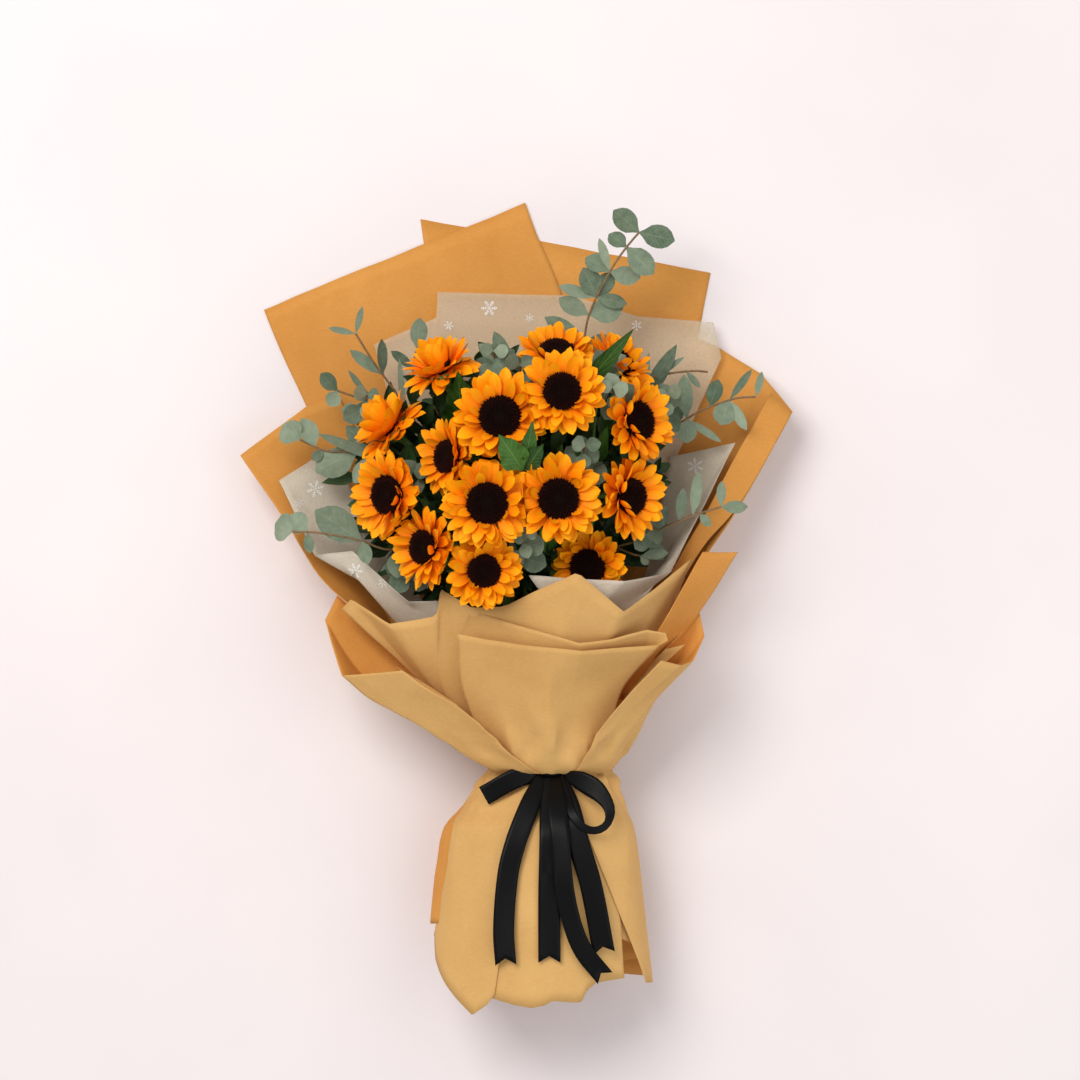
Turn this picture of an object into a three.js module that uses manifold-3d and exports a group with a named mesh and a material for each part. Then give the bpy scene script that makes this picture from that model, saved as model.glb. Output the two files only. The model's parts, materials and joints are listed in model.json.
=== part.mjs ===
// A bunch of fifteen sunflowers in kraft paper and tissue, tied with a satin ribbon.
// It lies on its back. Millimetres, +Z up, heads facing +Z, paper tips toward +Y.
import * as THREE from 'three';
import { mergeVertices } from 'three/addons/utils/BufferGeometryUtils.js';
import Module from 'manifold-3d';

const wasm = await Module();
wasm.setup();

// ---------------------------------------------------------------- driving dimensions

const PAPER = 1.0;
const TISSUE = 0.7;
const RIBBON = 0.8;

// The tie gathers everything into an oval, and each sheet is one layer further out.
const WAIST = { x: 31, y: -144, z: 58, halfWidth: 48, halfDepth: 18, halfNeck: 5 };
const LAYER_PITCH = 1.7;

// Below the tie the paper spreads into a skirt that ends in this oval.
const HEM = { x: 22, y: -345, z: 62.5, halfWidth: 100, halfDepth: 62, layersOut: 4 };
const KNEE = { y: -205, scale: 0.86 };

// A head is a seed disc in a ring of petals. The ring has one side for each petal of a layer.
const RING = { sides: 10, width: 2.6, rootHeight: 1.3 };
const DISC = { depth: 6.6, dome: 2.4, relief: 0.45, undersize: 0.1, rimDrop: 0.6 };
const DISC_RINGS = [0.5, 0.9];
const SEAT_GAP = 0.3;

const PETAL = { thickness: 1.0, halfWidth: 6.9, cup: 0.3 };
const PETAL_VARIETY = { swing: 0.12, lift: 0.3, twist: 0.3, shortest: 0.92, spread: 0.14 };
const PETAL_LAYERS = [
  { top: -4.1, bottom: -6.6, inset: 0, lift: 0.18, curl: 0.1, reach: 1.0, start: 0 },
  { top: -1.2, bottom: -5.0, inset: 1.1, lift: 0.52, curl: -0.15, reach: 0.94, start: 0.5 },
];

// Petals that meet a neighbour's slide up a plane between the two heads.
const PRESS = { range: 14, tilt: 2, margin: 1.0, slide: 0.6, passes: 3, halfGap: 0.25 };

const STEM = { radius: 4, sides: 8, shortNeck: 30, longNeck: 58, clearance: 3 };
// Stems lie close together at the tie, loosely above it, and each is worked out at these y.
const BUNDLE = {
  spreadX: 0.2, spreadZ: 0.24, low: 6, headRoom: 16, sideRoom: 3, backRoom: 2.3,
  tiedSpacing: 1.04, looseSpacing: 1.25, passingSpacing: 1.2,
  rounds: 900, easedRounds: 400, easing: 0.15,
};
const STATIONS = [-285, -144, -85, -20, 36, 68, 100];
const CALYX = { sides: 8, tip: 3.4, notch: 0.2, waist: 11, front: -7.1, middle: -13, back: -21 };

// Each head: centre of its disc face, the way it faces, outer radius and disc radius.
// Leaves grow from its stem at a height y, and are given by tip and width.
const HEADS = [
  { at: [-14, 168, 186], facing: [0, 0.15, 1], radius: 42, disc: 19,
    leaves: [[120, -9, 148, 176, 18], [124, 13, 160, 178, 8]] },
  { at: [41, 190, 194], facing: [0.05, 0.18, 1], radius: 38, disc: 17,
    leaves: [[170, 105, 245, 186, 13]] },
  { at: [-25, 91, 190], facing: [0, 0.05, 1], radius: 41, disc: 19,
    leaves: [[44, -6, 70, 150, 16]] },
  { at: [38, 95, 190], facing: [0.05, 0, 1], radius: 40, disc: 18.5,
    leaves: [[44, 22, 72, 152, 12]] },
  { at: [36, 228, 142], facing: [0, 0.8, 0.6], radius: 36, disc: 16, leaves: [] },
  { at: [94, 219, 132], facing: [0.6, 0.65, 0.45], radius: 34, disc: 15, leaves: [] },
  { at: [111, 165, 160], facing: [0.72, 0.15, 0.67], radius: 39, disc: 17.5,
    leaves: [[122, 49, 143, 168, 16], [128, 82, 160, 172, 13], [150, 86, 196, 172, 13]] },
  { at: [104, 97, 160], facing: [0.72, 0, 0.69], radius: 39, disc: 16.5, leaves: [] },
  { at: [-116, 99, 150], facing: [-0.68, 0, 0.73], radius: 40, disc: 17.5, leaves: [] },
  { at: [-116, 162, 118], facing: [-0.7, 0.66, 0.25], radius: 33, disc: 15, leaves: [] },
  { at: [-68, 215, 128], facing: [-0.35, 0.88, 0.3], radius: 32, disc: 15,
    leaves: [[140, -54, 206, 148, 26]] },
  { at: [-62, 133, 164], facing: [-0.75, 0.1, 0.65], radius: 36, disc: 15, leaves: [] },
  { at: [-83, 52, 160], facing: [-0.68, 0, 0.73], radius: 37, disc: 15.5, leaves: [] },
  { at: [-28, 31, 172], facing: [0.08, -0.05, 1], radius: 34, disc: 15, leaves: [] },
  { at: [64, 34, 132], facing: [-0.3, -0.1, 1], radius: 34, disc: 16.5, leaves: [] },
];

// Sheets of paper and tissue. Angles run round the tie, 90 in front and 270 at the back.
// Rows are the sheet's course above the tie, from the tie to its free edge.
// Hem is the y of the skirt's lower edge along the sheet. A fold is a strip turned out of it.
const SHEETS = {
  kraft_back_right: {
    angles: [240, 260, 280, 300, 320, 340], layer: 4, flat: true,
    hem: [-330, -338, -338],
    rows: [
      [[-25, -70, 4], [20, -70, 3], [60, -70, 3], [100, -70, 12]],
      [[-38, -5, 0.5], [120, -5, 0.5]],
      [[-88, 353, 0.5], [18, 334, 0.5], [178, 304, 0.5]],
    ],
  },
  kraft_back_left: {
    angles: [200, 220, 240, 260, 280, 300], layer: 3, flat: true,
    hem: [-290, -325, -330],
    rows: [
      [[-66, -70, 24], [-36, -70, 10], [45, -70, 8]],
      [[-98, -5, 6], [-60, -5, 2.4], [52, -5, 2.4]],
      [[-192, 178, 2.4], [50, 245, 2.4]],
      [[-232, 270, 2.4], [8, 367.5, 2.4]],
    ],
  },
  kraft_side_left: {
    angles: [140, 160, 180, 200, 220, 240], layer: 2,
    hem: [-285, -290, -292],
    rows: [
      [[-100, -40, 92], [-88, -60, 48], [-35, -62, 17]],
      [[-168, 14, 72], [-128, 10, 22], [-70, 5, 6.5]],
      [[-210, 75, 58], [-165, 95, 17], [-118, 105, 6.5]],
      [[-251, 135, 46], [-194, 180, 15], [-165, 192, 6.5]],
    ],
  },
  kraft_side_right: {
    angles: [-60, -40, -20, 0, 20, 40], layer: 2,
    hem: [-330, -320, -300],
    rows: [
      [[62, -62, 14], [114, -60, 42], [106, -55, 78]],
      [[86, 0, 5], [130, 10, 20], [150, 12, 80]],
      [[130, 130, 5], [176, 110, 18], [206, 95, 62]],
      [[155, 248, 5], [187, 234, 7], [225, 210, 20], [251, 175, 46]],
    ],
    fold: [
      [[130, -20, 86], [126, -16, 92]],
      [[165, 46, 75], [138, 22, 84]],
      [[205, 95, 62.5], [178, 95, 71]],
      [[250.5, 174.5, 46.5], [231, 192, 54]],
    ],
  },
  kraft_inner: {
    angles: [0, 20, 40, 60, 80, 100, 120, 140, 160], layer: 3,
    hem: [-205, -205],
    rows: [
      [[109, -85, 86], [25, -85, 122], [-60, -85, 90]],
      [[159, 42, 112], [97, -5, 157], [55, 30, 170], [-10, 0, 149], [-40, 0, 138], [-66, 12, 128],
        [-97, -23, 116]],
    ],
    fold: [
      [[109, -85, 86], [88, -85, 95]],
      [[165.5, -7, 95], [128.5, -20.5, 124]],
      [[199.5, 47.5, 100], [167.5, 47.5, 116]],
    ],
  },
  kraft_front: {
    angles: [40, 60, 80, 100, 120, 140], layer: 4,
    hem: [-337, -356, -360, -350],
    rows: [
      [[95, -80, 112], [30, -82, 133], [-48, -80, 113]],
      [[129, -35, 136], [59, -40, 157], [23, -38, 156], [-52, -26, 140]],
    ],
  },
  kraft_left: {
    angles: [100, 120, 140, 160, 180, 200], layer: 5,
    hem: [-297, -350, -367.5, -340, -318, -300],
    rows: [
      [[-52, -88, 122], [-84, -98, 106], [-106, -94, 76]],
      [[-98, -62, 128], [-132, -63, 112], [-160, -60, 78]],
      [[-72, -60, 134], [-104, -59, 134], [-156, -64, 108], [-175, -8, 72]],
    ],
  },
  kraft_right: {
    angles: [0, 20, 40, 60], layer: 5,
    hem: [-342, -341, -285, -210],
    rows: [
      [[124, -90, 76], [111, -98, 113], [80, -105, 124]],
      [[170, -20, 88], [157, -47, 118], [131, -50, 138]],
    ],
  },
  tissue_back: {
    angles: [246, 260, 280, 294], layer: 2, tissue: true, flat: true,
    hem: [-205, -205],
    rows: [
      [[-20, -70, 19], [28, -70, 14], [56, -70, 19]],
      [[-60, -5, 9.5], [84, -5, 9.5]],
      [[-131, 238, 8], [-74, 262, 8], [-72, 286, 8], [53, 282, 8], [110, 264, 8],
        [181, 257, 15], [188, 225, 18]],
    ],
  },
  tissue_left: {
    angles: [120, 140, 160, 180, 200, 220], layer: 1, tissue: true,
    hem: [-205, -205],
    rows: [
      [[-40, -70, 94], [-72, -62, 62], [-42, -62, 34]],
      [[-69, -9, 110], [-126, 2, 80], [-86, 5, 24]],
      [[-70, 4, 112], [-110, 20, 104], [-185, 46, 78], [-216, 112, 54], [-173, 141, 24]],
    ],
  },
  tissue_right: {
    angles: [-40, -20, 0, 20, 40, 60], layer: 1, tissue: true,
    hem: [-205, -205],
    rows: [
      [[76, -62, 34], [98, -64, 70], [50, -70, 112]],
      [[112, 8, 32], [110, -5, 112], [41, -15, 142]],
      [[142, 135, 20], [197, 145, 62], [156, 82, 84], [131, 32, 101], [97, 22, 146], [12, 27, 151]],
    ],
  },
};

// Foliage: each node has one main stem from the tie and sprigs that branch off it.
// A leaf is [fraction along the sprig, tip x, y, z, width].
const FOLIAGE = {
  foliage_top: {
    radius: 2,
    sprigs: [
      { path: [[48, 150, 62], [60, 215, 66], [64, 255, 74], [74, 281, 80], [86, 303, 84],
        [99, 322, 86], [111, 336, 88]],
      leaves: [
        [1, 87, 354, 94, 19], [1, 143, 329, 92, 20], [0.86, 89, 345, 80, 12],
        [0.86, 125, 301, 90, 20], [0.7, 113, 290, 80, 15], [0.7, 76, 331, 92, 7],
        [0.55, 66, 318, 78, 20], [0.55, 100, 270, 86, 9], [0.5, 52, 303, 88, 9],
        [0.36, 96, 262, 80, 17], [0.36, 36, 276, 84, 14], [0.33, 20, 263, 70, 16],
      ] },
      { path: [[48, 150, 62], [20, 190, 74], [-6, 212, 88]],
        leaves: [[1, -33, 236, 96, 13], [0.95, -20, 247, 84, 12], [0.9, 8, 231, 92, 9]] },
    ],
  },
  foliage_left: {
    radius: 2,
    sprigs: [
      { path: [[-60, 60, 56], [-95, 150, 62], [-109, 192, 66], [-114, 199, 68], [-130, 221, 72],
        [-145, 245, 76]],
      leaves: [
        [1, -139, 270, 80, 5], [1, -170, 250, 78, 5], [0.8, -121, 240, 84, 8],
        [0.8, -151, 230, 70, 9], [0.58, -106, 223, 74, 5], [0.58, -142, 195, 74, 5],
      ] },
      { path: [[-95, 150, 62], [-119, 182, 58], [-144, 188, 56], [-162, 194, 56]],
        leaves: [
          [1, -178, 209, 60, 12], [1, -170, 180, 58, 12], [0.65, -152, 213, 66, 5],
          [0.65, -154, 170, 60, 5],
        ] },
      { path: [[-95, 150, 62], [-94, 190, 60], [-93, 219, 62], [-90, 232, 62]],
        leaves: [[1, -88, 260, 66, 14], [0.8, -113, 230, 68, 8], [0.8, -70, 223, 66, 7]] },
      { path: [[-60, 60, 56], [-110, 125, 76], [-150, 138, 80], [-172, 139, 80], [-195, 149, 78]],
        leaves: [
          [1, -211, 163, 80, 20], [0.92, -193, 170, 76, 15], [0.88, -184, 130, 82, 8],
          [0.7, -181, 119, 78, 22], [0.55, -154, 162, 76, 15], [0.5, -179, 154, 92, 8],
          [0.55, -148, 112, 88, 18],
        ] },
      { path: [[-60, 60, 56], [-100, 52, 96], [-117, 50, 104], [-143, 59, 108], [-178, 65, 106],
        [-201, 66, 100]],
      leaves: [
        [1, -217.5, 72, 102, 22], [0.9, -204, 80, 100, 17], [0.9, -186, 46, 100, 8],
        [0.62, -181, 84, 116, 26], [0.6, -133, 37, 116, 11], [0.4, -106, 24, 110, 16],
        [0.25, -90, 18, 108, 6], [0.3, -122, 30, 104, 5], [0.18, -80, 14, 112, 5],
      ] },
    ],
  },
  foliage_right: {
    radius: 2,
    sprigs: [
      { path: [[66, 40, 50], [96, 130, 52], [118, 202, 56], [136, 209, 60], [163, 212, 60],
        [174, 211, 60]],
      leaves: [
        [0.45, 122, 230, 62, 11], [0.6, 145, 236, 64, 13], [0.6, 147, 184, 66, 5],
        [0.75, 153, 225, 64, 5], [0.9, 167, 197, 62, 5], [0.48, 142, 190, 52, 14],
      ] },
      { path: [[96, 130, 52], [130, 158, 62], [149, 165, 70], [164, 174, 72], [181, 181, 72],
        [200, 187, 72], [217, 188, 70]],
      leaves: [
        [0.5, 152, 208, 78, 12], [0.45, 148, 181, 64, 9], [0.5, 156, 146, 72, 15],
        [0.5, 186, 147, 74, 6], [0.68, 182, 204, 76, 12], [0.84, 186, 162, 78, 17],
        [0.84, 213, 213, 74, 6], [0.84, 209, 158, 76, 8], [1, 223, 211, 70, 6],
      ] },
      { path: [[66, 40, 50], [90, 52, 88], [117, 60, 104], [134, 70, 108], [161, 81, 112],
        [184, 88, 112]],
      leaves: [
        [0.6, 135, 89, 114, 7], [0.58, 118, 53, 118, 16], [0.75, 151, 105, 110, 9],
        [0.82, 165, 121, 106, 9], [0.85, 175, 71, 116, 7], [1, 185, 112, 112, 7],
        [1, 208, 89, 114, 10],
      ] },
      { path: [[90, 52, 88], [104, 46, 98], [112, 44, 102]],
        leaves: [[1, 137, 47, 108, 8], [1, 119, 36, 98, 6]] },
    ],
  },
};

const LEAF = { thickness: 1.2, cup: 0.18, petalClearance: 2.2, stemRoll: 0.2, sprigRoll: 0.7 };
const LEAF_OUTLINE = [[-0.05, 0], [0.3, 0.46], [0.74, 0.44], [1, 0]];
const TWIG = { radius: 1.2, sides: 4 };

// The ribbon: knot, loops and tails, each as a band along its middle line.
const RIBBON_BANDS = [
  { path: [[22, -150, 91], [0, -156, 97], [-29, -172, 94]], width: 18 },
  { path: [[42, -153, 91], [62, -160, 103], [80, -178, 110], [81, -194, 114], [66, -200, 118]],
    width: 12 },
  { path: [[67, -199.5, 118], [54, -190, 116], [44, -168, 102], [36, -152, 91]], width: 10 },
  { path: [[24, -152, 91], [10, -186, 112], [0, -212, 121], [-7, -240, 124], [-11, -290, 126],
    [-9, -322, 127.5]],
    width: 19 },
  { path: [[31, -152, 91], [31, -198, 116], [31, -212, 119.5], [30, -260, 122], [30, -320, 126]],
    width: 20 },
  { path: [[40, -154, 91], [51, -193, 115.5], [54, -207, 117.5], [67, -250, 118.5], [79, -312, 119.5]], width: 20 },
  { path: [[38, -160, 97], [39, -203, 122.5], [45, -262, 124.5], [58, -305, 124], [80, -334, 123.5]],
    width: 17 },
];
const KNOT = { at: [31, -149, 90], size: [24, 16, 9] };
const TURN = { layer: 5.5, halfWidth: 4.2, sides: 18 };

const WELD = 1e-4;
const SMOOTHING = 0.02;

// ---------------------------------------------------------------- small helpers

const vector = ([x, y, z]) => new THREE.Vector3(x, y, z);
const radians = THREE.MathUtils.degToRad;
const mix = (a, b, t) => a + (b - a) * t;

// Repeatable random numbers from 0 to 1.
function randomNumbers(seed) {
  let state = seed;
  return () => {
    state = (state + 0x6d2b79f5) | 0;
    let bits = Math.imul(state ^ (state >>> 15), 1 | state);
    bits = (bits + Math.imul(bits ^ (bits >>> 7), 61 | bits)) ^ bits;
    return ((bits ^ (bits >>> 14)) >>> 0) / 4294967296;
  };
}

function signedVolume(points, faces) {
  const cross = new THREE.Vector3();
  return faces.reduce((sum, [a, b, c]) => {
    cross.crossVectors(points[b], points[c]);
    return sum + points[a].dot(cross) / 6;
  }, 0);
}

// A closed solid from points and triangles, turned so that its faces point out.
function solidOf(points, faces) {
  const outward = signedVolume(points, faces) > 0;
  const turned = outward ? faces : faces.map(([a, b, c]) => [a, c, b]);
  const vertProperties = new Float32Array(points.flatMap((p) => [p.x, p.y, p.z]));
  const triVerts = new Uint32Array(turned.flat());
  return new wasm.Manifold(new wasm.Mesh({ numProp: 3, vertProperties, triVerts }));
}

// The same from a three.js geometry, with its doubled points merged.
function solidFromGeometry(geometry) {
  geometry.deleteAttribute('normal');
  geometry.deleteAttribute('uv');
  const merged = mergeVertices(geometry, WELD);
  const position = merged.getAttribute('position');
  const points = [];
  for (let i = 0; i < position.count; i += 1) {
    points.push(new THREE.Vector3().fromBufferAttribute(position, i));
  }
  const faces = [];
  for (let i = 0; i < merged.index.count; i += 3) {
    const face = [0, 1, 2].map((k) => merged.index.getX(i + k));
    if (new Set(face).size === 3) faces.push(face);
  }
  return solidOf(points, faces);
}

// Joins solids into one body. Loose scraps and sealed hollows are left out.
function fuse(solids) {
  const pieces = wasm.Manifold.union(solids).simplify(SMOOTHING).decompose();
  return pieces.reduce((best, piece) => (piece.volume() > best.volume() ? piece : best));
}

function geometryOf(solid) {
  const mesh = solid.getMesh();
  const geometry = new THREE.BufferGeometry();
  geometry.setAttribute('position', new THREE.BufferAttribute(mesh.vertProperties, 3));
  geometry.setIndex(new THREE.BufferAttribute(mesh.triVerts, 1));
  geometry.computeVertexNormals();
  return geometry;
}

// A course through points, whose even steps fall on the points themselves.
class Course extends THREE.Curve {
  constructor(points) {
    super();
    this.points = points;
  }

  getPoint(t, target = new THREE.Vector3()) {
    const place = t * (this.points.length - 1);
    const first = THREE.MathUtils.clamp(Math.floor(place), 0, this.points.length - 2);
    return target.lerpVectors(this.points[first], this.points[first + 1], place - first);
  }

  getPointAt(t, target) {
    return this.getPoint(t, target);
  }

  getTangentAt(t, target) {
    return this.getTangent(t, target);
  }
}

// A bar along a course, straight between its points.
function bar(extrudePath, radius, sides) {
  const section = new THREE.Shape();
  for (let i = 0; i < sides; i += 1) {
    const turn = (2 * Math.PI * i) / sides;
    const [x, y] = [radius * Math.cos(turn), radius * Math.sin(turn)];
    if (i === 0) section.moveTo(x, y);
    else section.lineTo(x, y);
  }
  const steps = extrudePath.points.length - 1;
  const options = { steps, bevelEnabled: false, extrudePath };
  return solidFromGeometry(new THREE.ExtrudeGeometry(section, options));
}

// ---------------------------------------------------------------- leaves

// A flat oval leaf from root to tip, thickest in the middle.
function ovalLeaf(root, tip, width, thickness, roll) {
  const along = new THREE.Vector3().subVectors(tip, root);
  const side = new THREE.Vector3(0, 0, 1).cross(along).normalize();
  side.applyAxisAngle(along.clone().normalize(), roll);
  const up = new THREE.Vector3().crossVectors(along, side).normalize();
  const edge = (part, half) => root.clone()
    .addScaledVector(along, part)
    .addScaledVector(side, half * width)
    .addScaledVector(up, Math.abs(half) * width * LEAF.cup);
  const right = LEAF_OUTLINE.map(([part, half]) => edge(part, half));
  const left = LEAF_OUTLINE.slice(1, -1).reverse().map(([part, half]) => edge(part, -half));
  const rim = [...right, ...left];
  const middle = edge(0.5, 0);
  const top = middle.clone().addScaledVector(up, thickness / 2);
  const under = middle.clone().addScaledVector(up, -thickness / 2);
  const faces = [];
  rim.forEach((_, i) => {
    const next = (i + 1) % rim.length;
    faces.push([i, next, rim.length], [next, i, rim.length + 1]);
  });
  return solidOf([...rim, top, under], faces);
}

// ---------------------------------------------------------------- heads

function headFrame(head) {
  const out = vector(head.facing).normalize();
  const up = new THREE.Vector3(0, 1, 0);
  if (Math.abs(out.y) > 0.95) up.set(0, 0, 1);
  const right = up.clone().cross(out).normalize();
  up.crossVectors(out, right);
  return new THREE.Matrix4().makeBasis(right, up, out).setPosition(vector(head.at));
}

// Neighbouring heads press against each other along a plane between them.
// The higher head's petals lean over the lower one's.
function pressPlanes(head) {
  const centre = vector(head.at);
  return HEADS.filter((other) => other !== head).flatMap((other) => {
    const toOther = vector(other.at).sub(centre);
    if (toOther.length() > head.radius + other.radius + PRESS.range) return [];
    const share = head.radius / (head.radius + other.radius);
    const point = centre.clone().addScaledVector(toOther, share);
    const normal = toOther.clone();
    normal.z *= PRESS.tilt;
    return [{ point, normal: normal.normalize() }];
  });
}

// A point beyond such a plane slides back onto it and up along it.
function pressed(point, planes, out) {
  const moved = point.clone();
  for (let pass = 0; pass < PRESS.passes; pass += 1) {
    planes.forEach((plane) => {
      const past = moved.clone().sub(plane.point).dot(plane.normal) + PRESS.margin;
      if (past <= 0) return;
      const up = out.clone().projectOnPlane(plane.normal).normalize();
      moved.addScaledVector(plane.normal, -past);
      if (pass === 0) moved.addScaledVector(up, past * PRESS.slide);
    });
  }
  return moved;
}

// One petal beyond its root: the points of its widest section, and its tip.
function petalPoints(turn, layer, head, random, place) {
  const swing = turn + (random() - 0.5) * PETAL_VARIETY.swing;
  const lift = layer.lift + (random() - 0.5) * PETAL_VARIETY.lift;
  const twist = (random() - 0.5) * PETAL_VARIETY.twist;
  const share = layer.reach * (PETAL_VARIETY.shortest + PETAL_VARIETY.spread * random());
  const reach = (head.radius - head.disc - RING.width) * share;
  const half = (reach / Math.cos(layer.lift)) / 2;
  const outward = new THREE.Vector3(Math.cos(swing), Math.sin(swing), 0);
  const sideways = new THREE.Vector3(-Math.sin(swing), Math.cos(swing), 0);
  const root = outward.clone().multiplyScalar(head.disc + SEAT_GAP + RING.width);
  root.setZ((layer.top + layer.bottom) / 2);
  const heading = (rise) => outward.clone().multiplyScalar(Math.cos(rise)).setZ(Math.sin(rise));
  const ridge = root.clone().addScaledVector(heading(lift), half);
  const tip = place(ridge.clone().addScaledVector(heading(lift + 2 * layer.curl), half));
  const side = sideways.applyAxisAngle(heading(lift), twist).multiplyScalar(PETAL.halfWidth);
  const cup = new THREE.Vector3(0, 0, PETAL.halfWidth * PETAL.cup);
  const left = place(ridge.clone().sub(side).add(cup));
  const right = place(ridge.clone().add(side).add(cup));
  const middle = place(ridge);
  const up = right.clone().sub(left).cross(tip.clone().sub(place(root))).negate().normalize();
  const top = middle.clone().addScaledVector(up, PETAL.thickness / 2);
  const under = middle.clone().addScaledVector(up, -PETAL.thickness / 2);
  return [left, top, right, under, tip];
}

// A layer of petals as one closed body: each side of a ring grows out into a petal.
function petalLayer(layer, head, frame, random, place) {
  const inner = head.disc + SEAT_GAP + layer.inset;
  const outer = head.disc + SEAT_GAP + RING.width;
  const middle = (layer.top + layer.bottom) / 2;
  const points = [];
  const pitch = (2 * Math.PI) / RING.sides;
  for (let k = 0; k < RING.sides; k += 1) {
    const turn = pitch * (k + layer.start);
    const corner = (radius, z) => new THREE.Vector3(
      radius * Math.cos(turn), radius * Math.sin(turn), z).applyMatrix4(frame);
    points.push(corner(inner, layer.top), corner(inner, layer.bottom));
    points.push(corner(outer, middle + RING.rootHeight / 2));
    points.push(corner(outer, middle - RING.rootHeight / 2));
  }
  const faces = [];
  for (let k = 0; k < RING.sides; k += 1) {
    const [innerTop, innerLow, topLeft, lowLeft] = [4 * k, 4 * k + 1, 4 * k + 2, 4 * k + 3];
    const next = 4 * ((k + 1) % RING.sides);
    const [nextInnerTop, nextInnerLow, topRight, lowRight] = [next, next + 1, next + 2, next + 3];
    faces.push([innerTop, topLeft, topRight], [innerTop, topRight, nextInnerTop]);
    faces.push([innerLow, nextInnerLow, lowRight], [innerLow, lowRight, lowLeft]);
    faces.push([innerTop, nextInnerTop, nextInnerLow], [innerTop, nextInnerLow, innerLow]);
    const left = points.length;
    const [top, right, under, tip] = [left + 1, left + 2, left + 3, left + 4];
    points.push(...petalPoints(pitch * (k + layer.start + 0.5), layer, head, random, place));
    faces.push([topLeft, top, topRight], [topLeft, left, top], [top, right, topRight]);
    faces.push([lowLeft, left, topLeft], [topRight, right, lowRight]);
    faces.push([lowLeft, lowRight, under], [left, lowLeft, under], [lowRight, right, under]);
    faces.push([top, left, tip], [right, top, tip], [under, right, tip], [left, under, tip]);
  }
  return solidOf(points, faces);
}

function petals(head, frame, seed) {
  const random = randomNumbers(seed);
  const planes = pressPlanes(head);
  const out = vector(head.facing).normalize();
  const place = (point) => pressed(point.clone().applyMatrix4(frame), planes, out);
  const layers = PETAL_LAYERS.map((layer) => petalLayer(layer, head, frame, random, place));
  let bloom = wasm.Manifold.union(layers);
  planes.forEach(({ point, normal }) => {
    const inward = normal.clone().negate();
    bloom = bloom.trimByPlane(inward.toArray(), inward.dot(point) + PRESS.halfGap);
  });
  return bloom;
}

// The seed disc: a low dome whose florets are raised and sunk in turn.
function seedDisc(head, frame) {
  const rim = head.disc - DISC.undersize;
  const points = [new THREE.Vector3(0, 0, DISC.dome / 3)];
  const addRing = (radius, heightAt) => {
    for (let s = 0; s < RING.sides; s += 1) {
      const turn = (2 * Math.PI * s) / RING.sides;
      points.push(new THREE.Vector3(radius * Math.cos(turn), radius * Math.sin(turn), heightAt(s)));
    }
  };
  DISC_RINGS.forEach((part, k) => {
    const dome = DISC.dome * Math.sin(Math.PI * part);
    addRing(rim * part, (s) => dome + DISC.relief * ((s + k) % 2 ? -1 : 1));
  });
  addRing(rim, () => -DISC.rimDrop);
  addRing(rim, () => -DISC.depth);
  points.push(new THREE.Vector3(0, 0, -DISC.depth));
  const faces = [];
  for (let s = 0; s < RING.sides; s += 1) {
    const next = (s + 1) % RING.sides;
    faces.push([0, 1 + s, 1 + next]);
    for (let k = 0; k < DISC_RINGS.length + 1; k += 1) {
      const [a, b] = [1 + k * RING.sides + s, 1 + k * RING.sides + next];
      faces.push([a, a + RING.sides, b + RING.sides], [a, b + RING.sides, b]);
    }
    const base = 1 + (DISC_RINGS.length + 1) * RING.sides;
    faces.push([base + next, base + s, points.length - 1]);
  }
  return solidOf(points.map((point) => point.applyMatrix4(frame)), faces);
}

// The calyx behind the head: pointed bracts round its front, narrowing to the stem.
function calyx(head, frame) {
  const rows = [
    { z: CALYX.front, radius: (s) => head.disc + (s % 2 ? CALYX.notch : CALYX.tip) },
    { z: CALYX.middle, radius: () => CALYX.waist },
    { z: CALYX.back, radius: () => STEM.radius },
  ];
  const points = [];
  rows.forEach(({ z, radius }) => {
    for (let s = 0; s < CALYX.sides; s += 1) {
      const turn = (2 * Math.PI * s) / CALYX.sides;
      points.push(new THREE.Vector3(radius(s) * Math.cos(turn), radius(s) * Math.sin(turn), z));
    }
  });
  const front = points.push(new THREE.Vector3(0, 0, CALYX.front)) - 1;
  const back = points.push(new THREE.Vector3(0, 0, CALYX.back)) - 1;
  const faces = [];
  for (let s = 0; s < CALYX.sides; s += 1) {
    const next = (s + 1) % CALYX.sides;
    faces.push([front, s, next]);
    for (let k = 0; k < 2; k += 1) {
      const [a, b] = [k * CALYX.sides + s, k * CALYX.sides + next];
      faces.push([a, a + CALYX.sides, b + CALYX.sides], [a, b + CALYX.sides, b]);
    }
    faces.push([2 * CALYX.sides + next, 2 * CALYX.sides + s, back]);
  }
  return solidOf(points.map((point) => point.applyMatrix4(frame)), faces);
}

// ---------------------------------------------------------------- the bundle of stems

// Every stem runs through the tie. Where two would touch they are pushed apart.
function bundle(strands) {
  const tie = STATIONS.indexOf(WAIST.y);
  const middle = { x: 0, z: 0 };
  strands.forEach((strand) => {
    middle.x += strand.bend.x / strands.length;
    middle.z += strand.bend.z / strands.length;
  });
  strands.forEach((strand) => {
    const slot = {
      x: WAIST.x + (strand.bend.x - middle.x) * BUNDLE.spreadX,
      z: WAIST.z - BUNDLE.low + (strand.bend.z - middle.z) * BUNDLE.spreadZ,
    };
    strand.stations = STATIONS.filter((y) => y < strand.bend.y - BUNDLE.headRoom).map((y) => {
      const part = Math.max((y - WAIST.y) / (strand.bend.y - WAIST.y), 0);
      return { x: mix(slot.x, strand.bend.x, part), y, z: mix(slot.z, strand.bend.z, part) };
    });
  });
  for (let round = 0; round < BUNDLE.rounds; round += 1) {
    if (round < BUNDLE.easedRounds) strands.forEach((strand) => straighten(strand, tie));
    STATIONS.forEach((_, station) => {
      spread(strands, station, station <= tie);
      keepClear(strands, station);
    });
  }
}

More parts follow.
